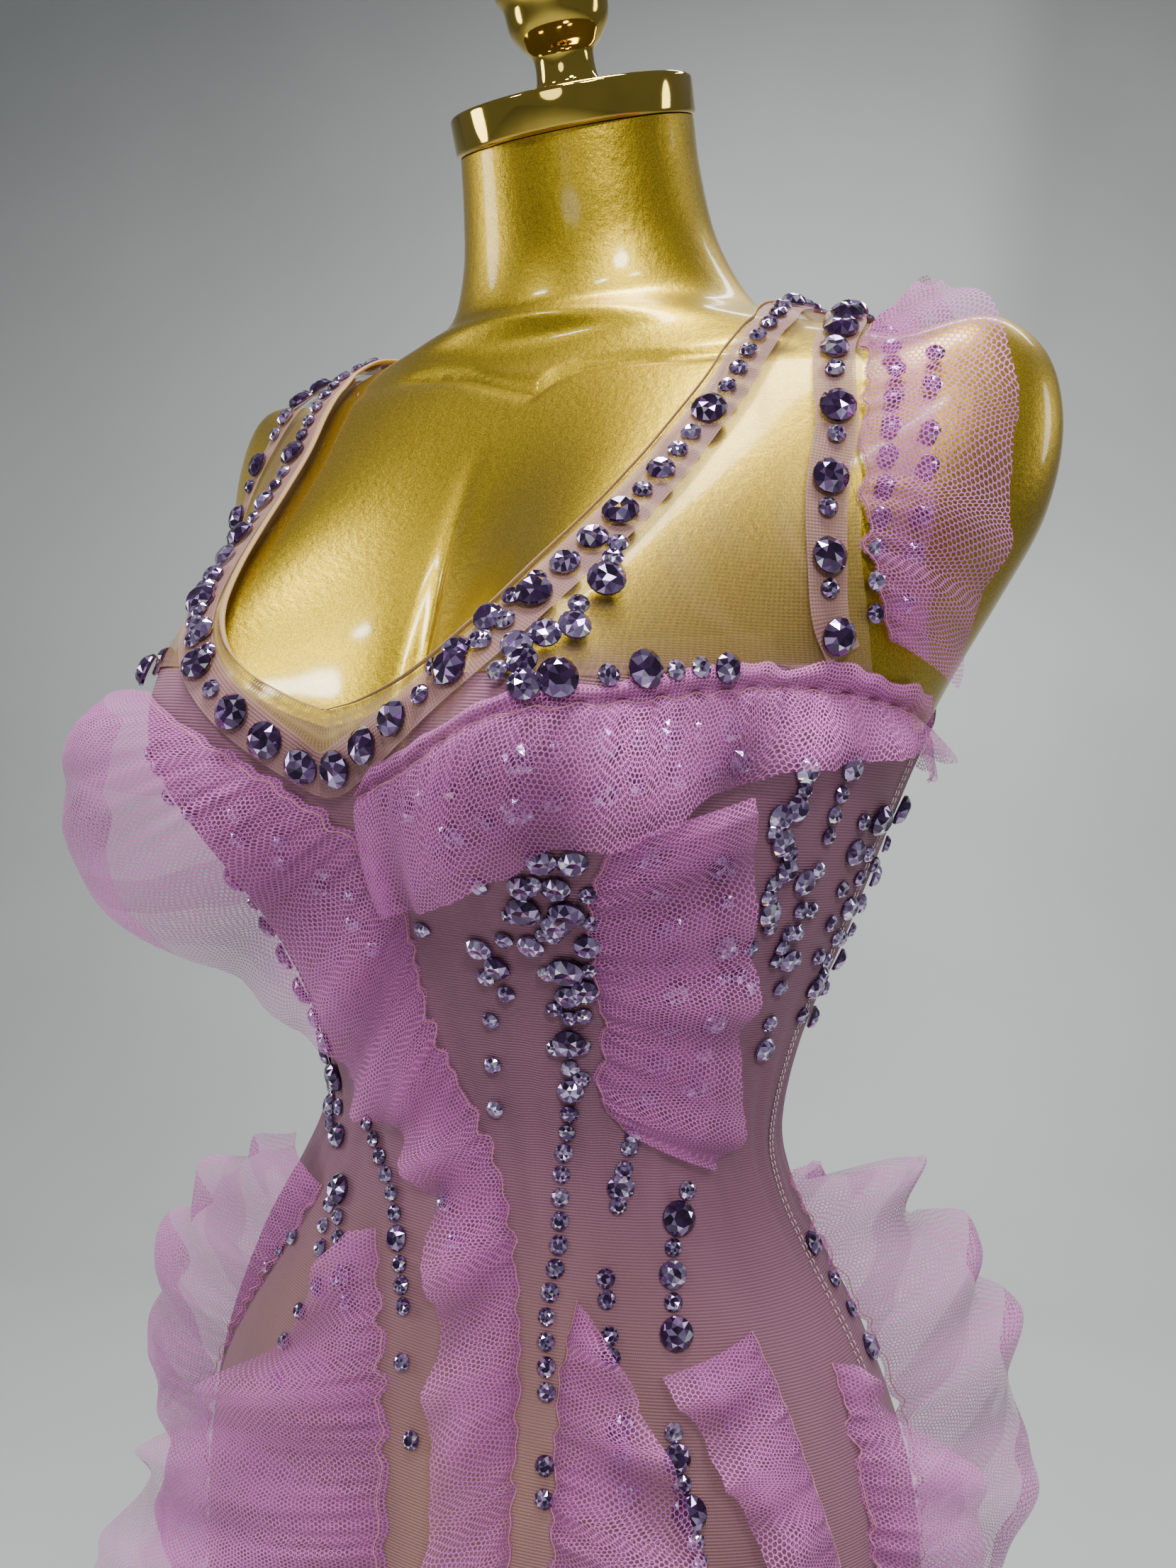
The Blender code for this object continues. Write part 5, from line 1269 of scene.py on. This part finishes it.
class DressSettings(bpy.types.PropertyGroup):
    """Sizes and colours of the dress, its form and the camera."""

    form_colour: colour_property("Form", "Gold paint of the dress form", (0.49, 0.335, 0.018))
    plate_colour: colour_property("Plate", "Polished gold of neck plate and stand", (0.66, 0.47, 0.085))
    mesh_colour: colour_property("Mesh", "Mauve of the body mesh", (0.230, 0.078, 0.145))
    nude_colour: colour_property("Nude mesh", "Nude of stretched mesh", (0.40, 0.20, 0.15))
    yoke_colour: colour_property("Yokes", "Golden nude of the sheer yokes", (0.42, 0.275, 0.10))
    band_colour: colour_property("Bands", "Nude mauve of the doubled bands", (0.34, 0.175, 0.17))
    tulle_colour: colour_property("Tulle", "Orchid pink of the tulle", (0.66, 0.165, 0.54))
    stone_dark: colour_property("Dark stones", "Amethyst of the stones' dark facets", (0.105, 0.036, 0.165))
    stone_light: colour_property("Pale stones", "Lilac of the stones' pale facets", (0.46, 0.35, 0.62))
    binding_colour: colour_property("Binding", "Nude tape along the neckline", (0.52, 0.32, 0.15))
    thread_colour: colour_property("Gathering thread", "Thread that gathers the tulle", (0.62, 0.26, 0.30))
    wall_colour: colour_property("Wall", "Pale grey of floor and wall", (0.56, 0.58, 0.57))
    net_pitch: FloatProperty(name="Net pitch", description="Width of one cell of the net", default=0.0020,
                             min=0.0005, max=0.01, unit="LENGTH", precision=4)
    net_thread: FloatProperty(name="Net thread", description="Half a thread's width as a share of the pitch",
                              default=0.105, min=0.01, max=0.4, subtype="FACTOR")
    net_haze: FloatProperty(name="Net haze", description="Opacity of the net between its threads",
                            default=0.16, min=0, max=1, subtype="FACTOR")
    fold_seed: IntProperty(name="Fold seed", description="Start of the ruffles' random folds", default=11,
                           min=0)
    stone_seed: IntProperty(name="Stone seed", description="Start of the stones' random tones", default=5,
                            min=0)
    lens: FloatProperty(name="Lens", description="Focal length of the camera in millimetres", default=27.03,
                        min=5, max=200)
    camera_roll: FloatProperty(name="Roll", description="Roll of the camera", default=math.radians(4),
                               subtype="ANGLE")
    camera_place: FloatVectorProperty(name="Camera", description="Place of the camera",
                                      default=(0.2853, -0.4921, 1.211), subtype="TRANSLATION", unit="LENGTH")


class DRESS_OT_form(bpy.types.Operator):
    """Makes the smooth torso and neck of the dress form"""

    bl_idname = "dress.form"
    bl_label = "Form"

    def execute(self, context):
        build_form(context.scene.dress_settings)
        return {"FINISHED"}


class DRESS_OT_hardware(bpy.types.Operator):
    """Makes the polished neck plate, finial, collar, pole and base"""

    bl_idname = "dress.hardware"
    bl_label = "Plate, finial and stand"

    def execute(self, context):
        build_hardware(context.scene.dress_settings)
        return {"FINISHED"}


class DRESS_OT_panels(bpy.types.Operator):
    """Makes the front and back of the body mesh"""

    bl_idname = "dress.panels"
    bl_label = "Body mesh"

    def execute(self, context):
        build_panels(context.scene.dress_settings)
        return {"FINISHED"}


class DRESS_OT_yokes(bpy.types.Operator):
    """Makes the sheer yokes"""

    bl_idname = "dress.yokes"
    bl_label = "Yokes"

    def execute(self, context):
        build_yokes(context.scene.dress_settings)
        return {"FINISHED"}


class DRESS_OT_bands(bpy.types.Operator):
    """Makes the bands of the neckline, bust line and armholes"""

    bl_idname = "dress.bands"
    bl_label = "Bands"

    def execute(self, context):
        build_bands(context.scene.dress_settings)
        return {"FINISHED"}


class DRESS_OT_ruffles(bpy.types.Operator):
    """Makes the tulle ruffles and cascades with their gathering threads"""

    bl_idname = "dress.ruffles"
    bl_label = "Ruffles"

    def execute(self, context):
        build_ruffles(context.scene.dress_settings)
        return {"FINISHED"}


class DRESS_OT_stones(bpy.types.Operator):
    """Sets the cut stones"""

    bl_idname = "dress.stones"
    bl_label = "Stones"

    def execute(self, context):
        build_stones(context.scene.dress_settings)
        return {"FINISHED"}


class DRESS_OT_trims(bpy.types.Operator):
    """Makes the neckline binding and the seams' stitches"""

    bl_idname = "dress.trims"
    bl_label = "Binding and stitches"

    def execute(self, context):
        build_trims(context.scene.dress_settings)
        return {"FINISHED"}


class DRESS_OT_stage(bpy.types.Operator):
    """Makes the floor, the lights and the camera"""

    bl_idname = "dress.stage"
    bl_label = "Stage"

    def execute(self, context):
        build_stage(context.scene.dress_settings)
        return {"FINISHED"}


OPERATORS = (DRESS_OT_form, DRESS_OT_hardware, DRESS_OT_panels, DRESS_OT_yokes, DRESS_OT_bands,
             DRESS_OT_ruffles, DRESS_OT_stones, DRESS_OT_trims, DRESS_OT_stage)


class DRESS_PT_panel(bpy.types.Panel):
    """Sidebar panel with the settings and one button for each group of pieces."""

    bl_label = "Mini dress"
    bl_idname = "DRESS_PT_panel"
    bl_space_type = "VIEW_3D"
    bl_region_type = "UI"
    bl_category = "Dress"

    def draw(self, context):
        settings = context.scene.dress_settings
        for name in settings.bl_rna.properties.keys():
            if name not in {"rna_type", "name"}:
                self.layout.prop(settings, name)
        for made in OPERATORS:
            self.layout.operator(made.bl_idname)


def register():
    """Registers the settings, the operators and the panel."""
    for made in (DressSettings, *OPERATORS, DRESS_PT_panel):
        bpy.utils.register_class(made)
    bpy.types.Scene.dress_settings = PointerProperty(type=DressSettings)


def unregister():
    """Removes what register added."""
    del bpy.types.Scene.dress_settings
    for made in (DRESS_PT_panel, *reversed(OPERATORS), DressSettings):
        bpy.utils.unregister_class(made)


def main():
    """Builds every piece in order."""
    register()
    for made in OPERATORS:
        group, step = made.bl_idname.split(".")
        getattr(getattr(bpy.ops, group), step)()


if __name__ == "__main__":
    main()
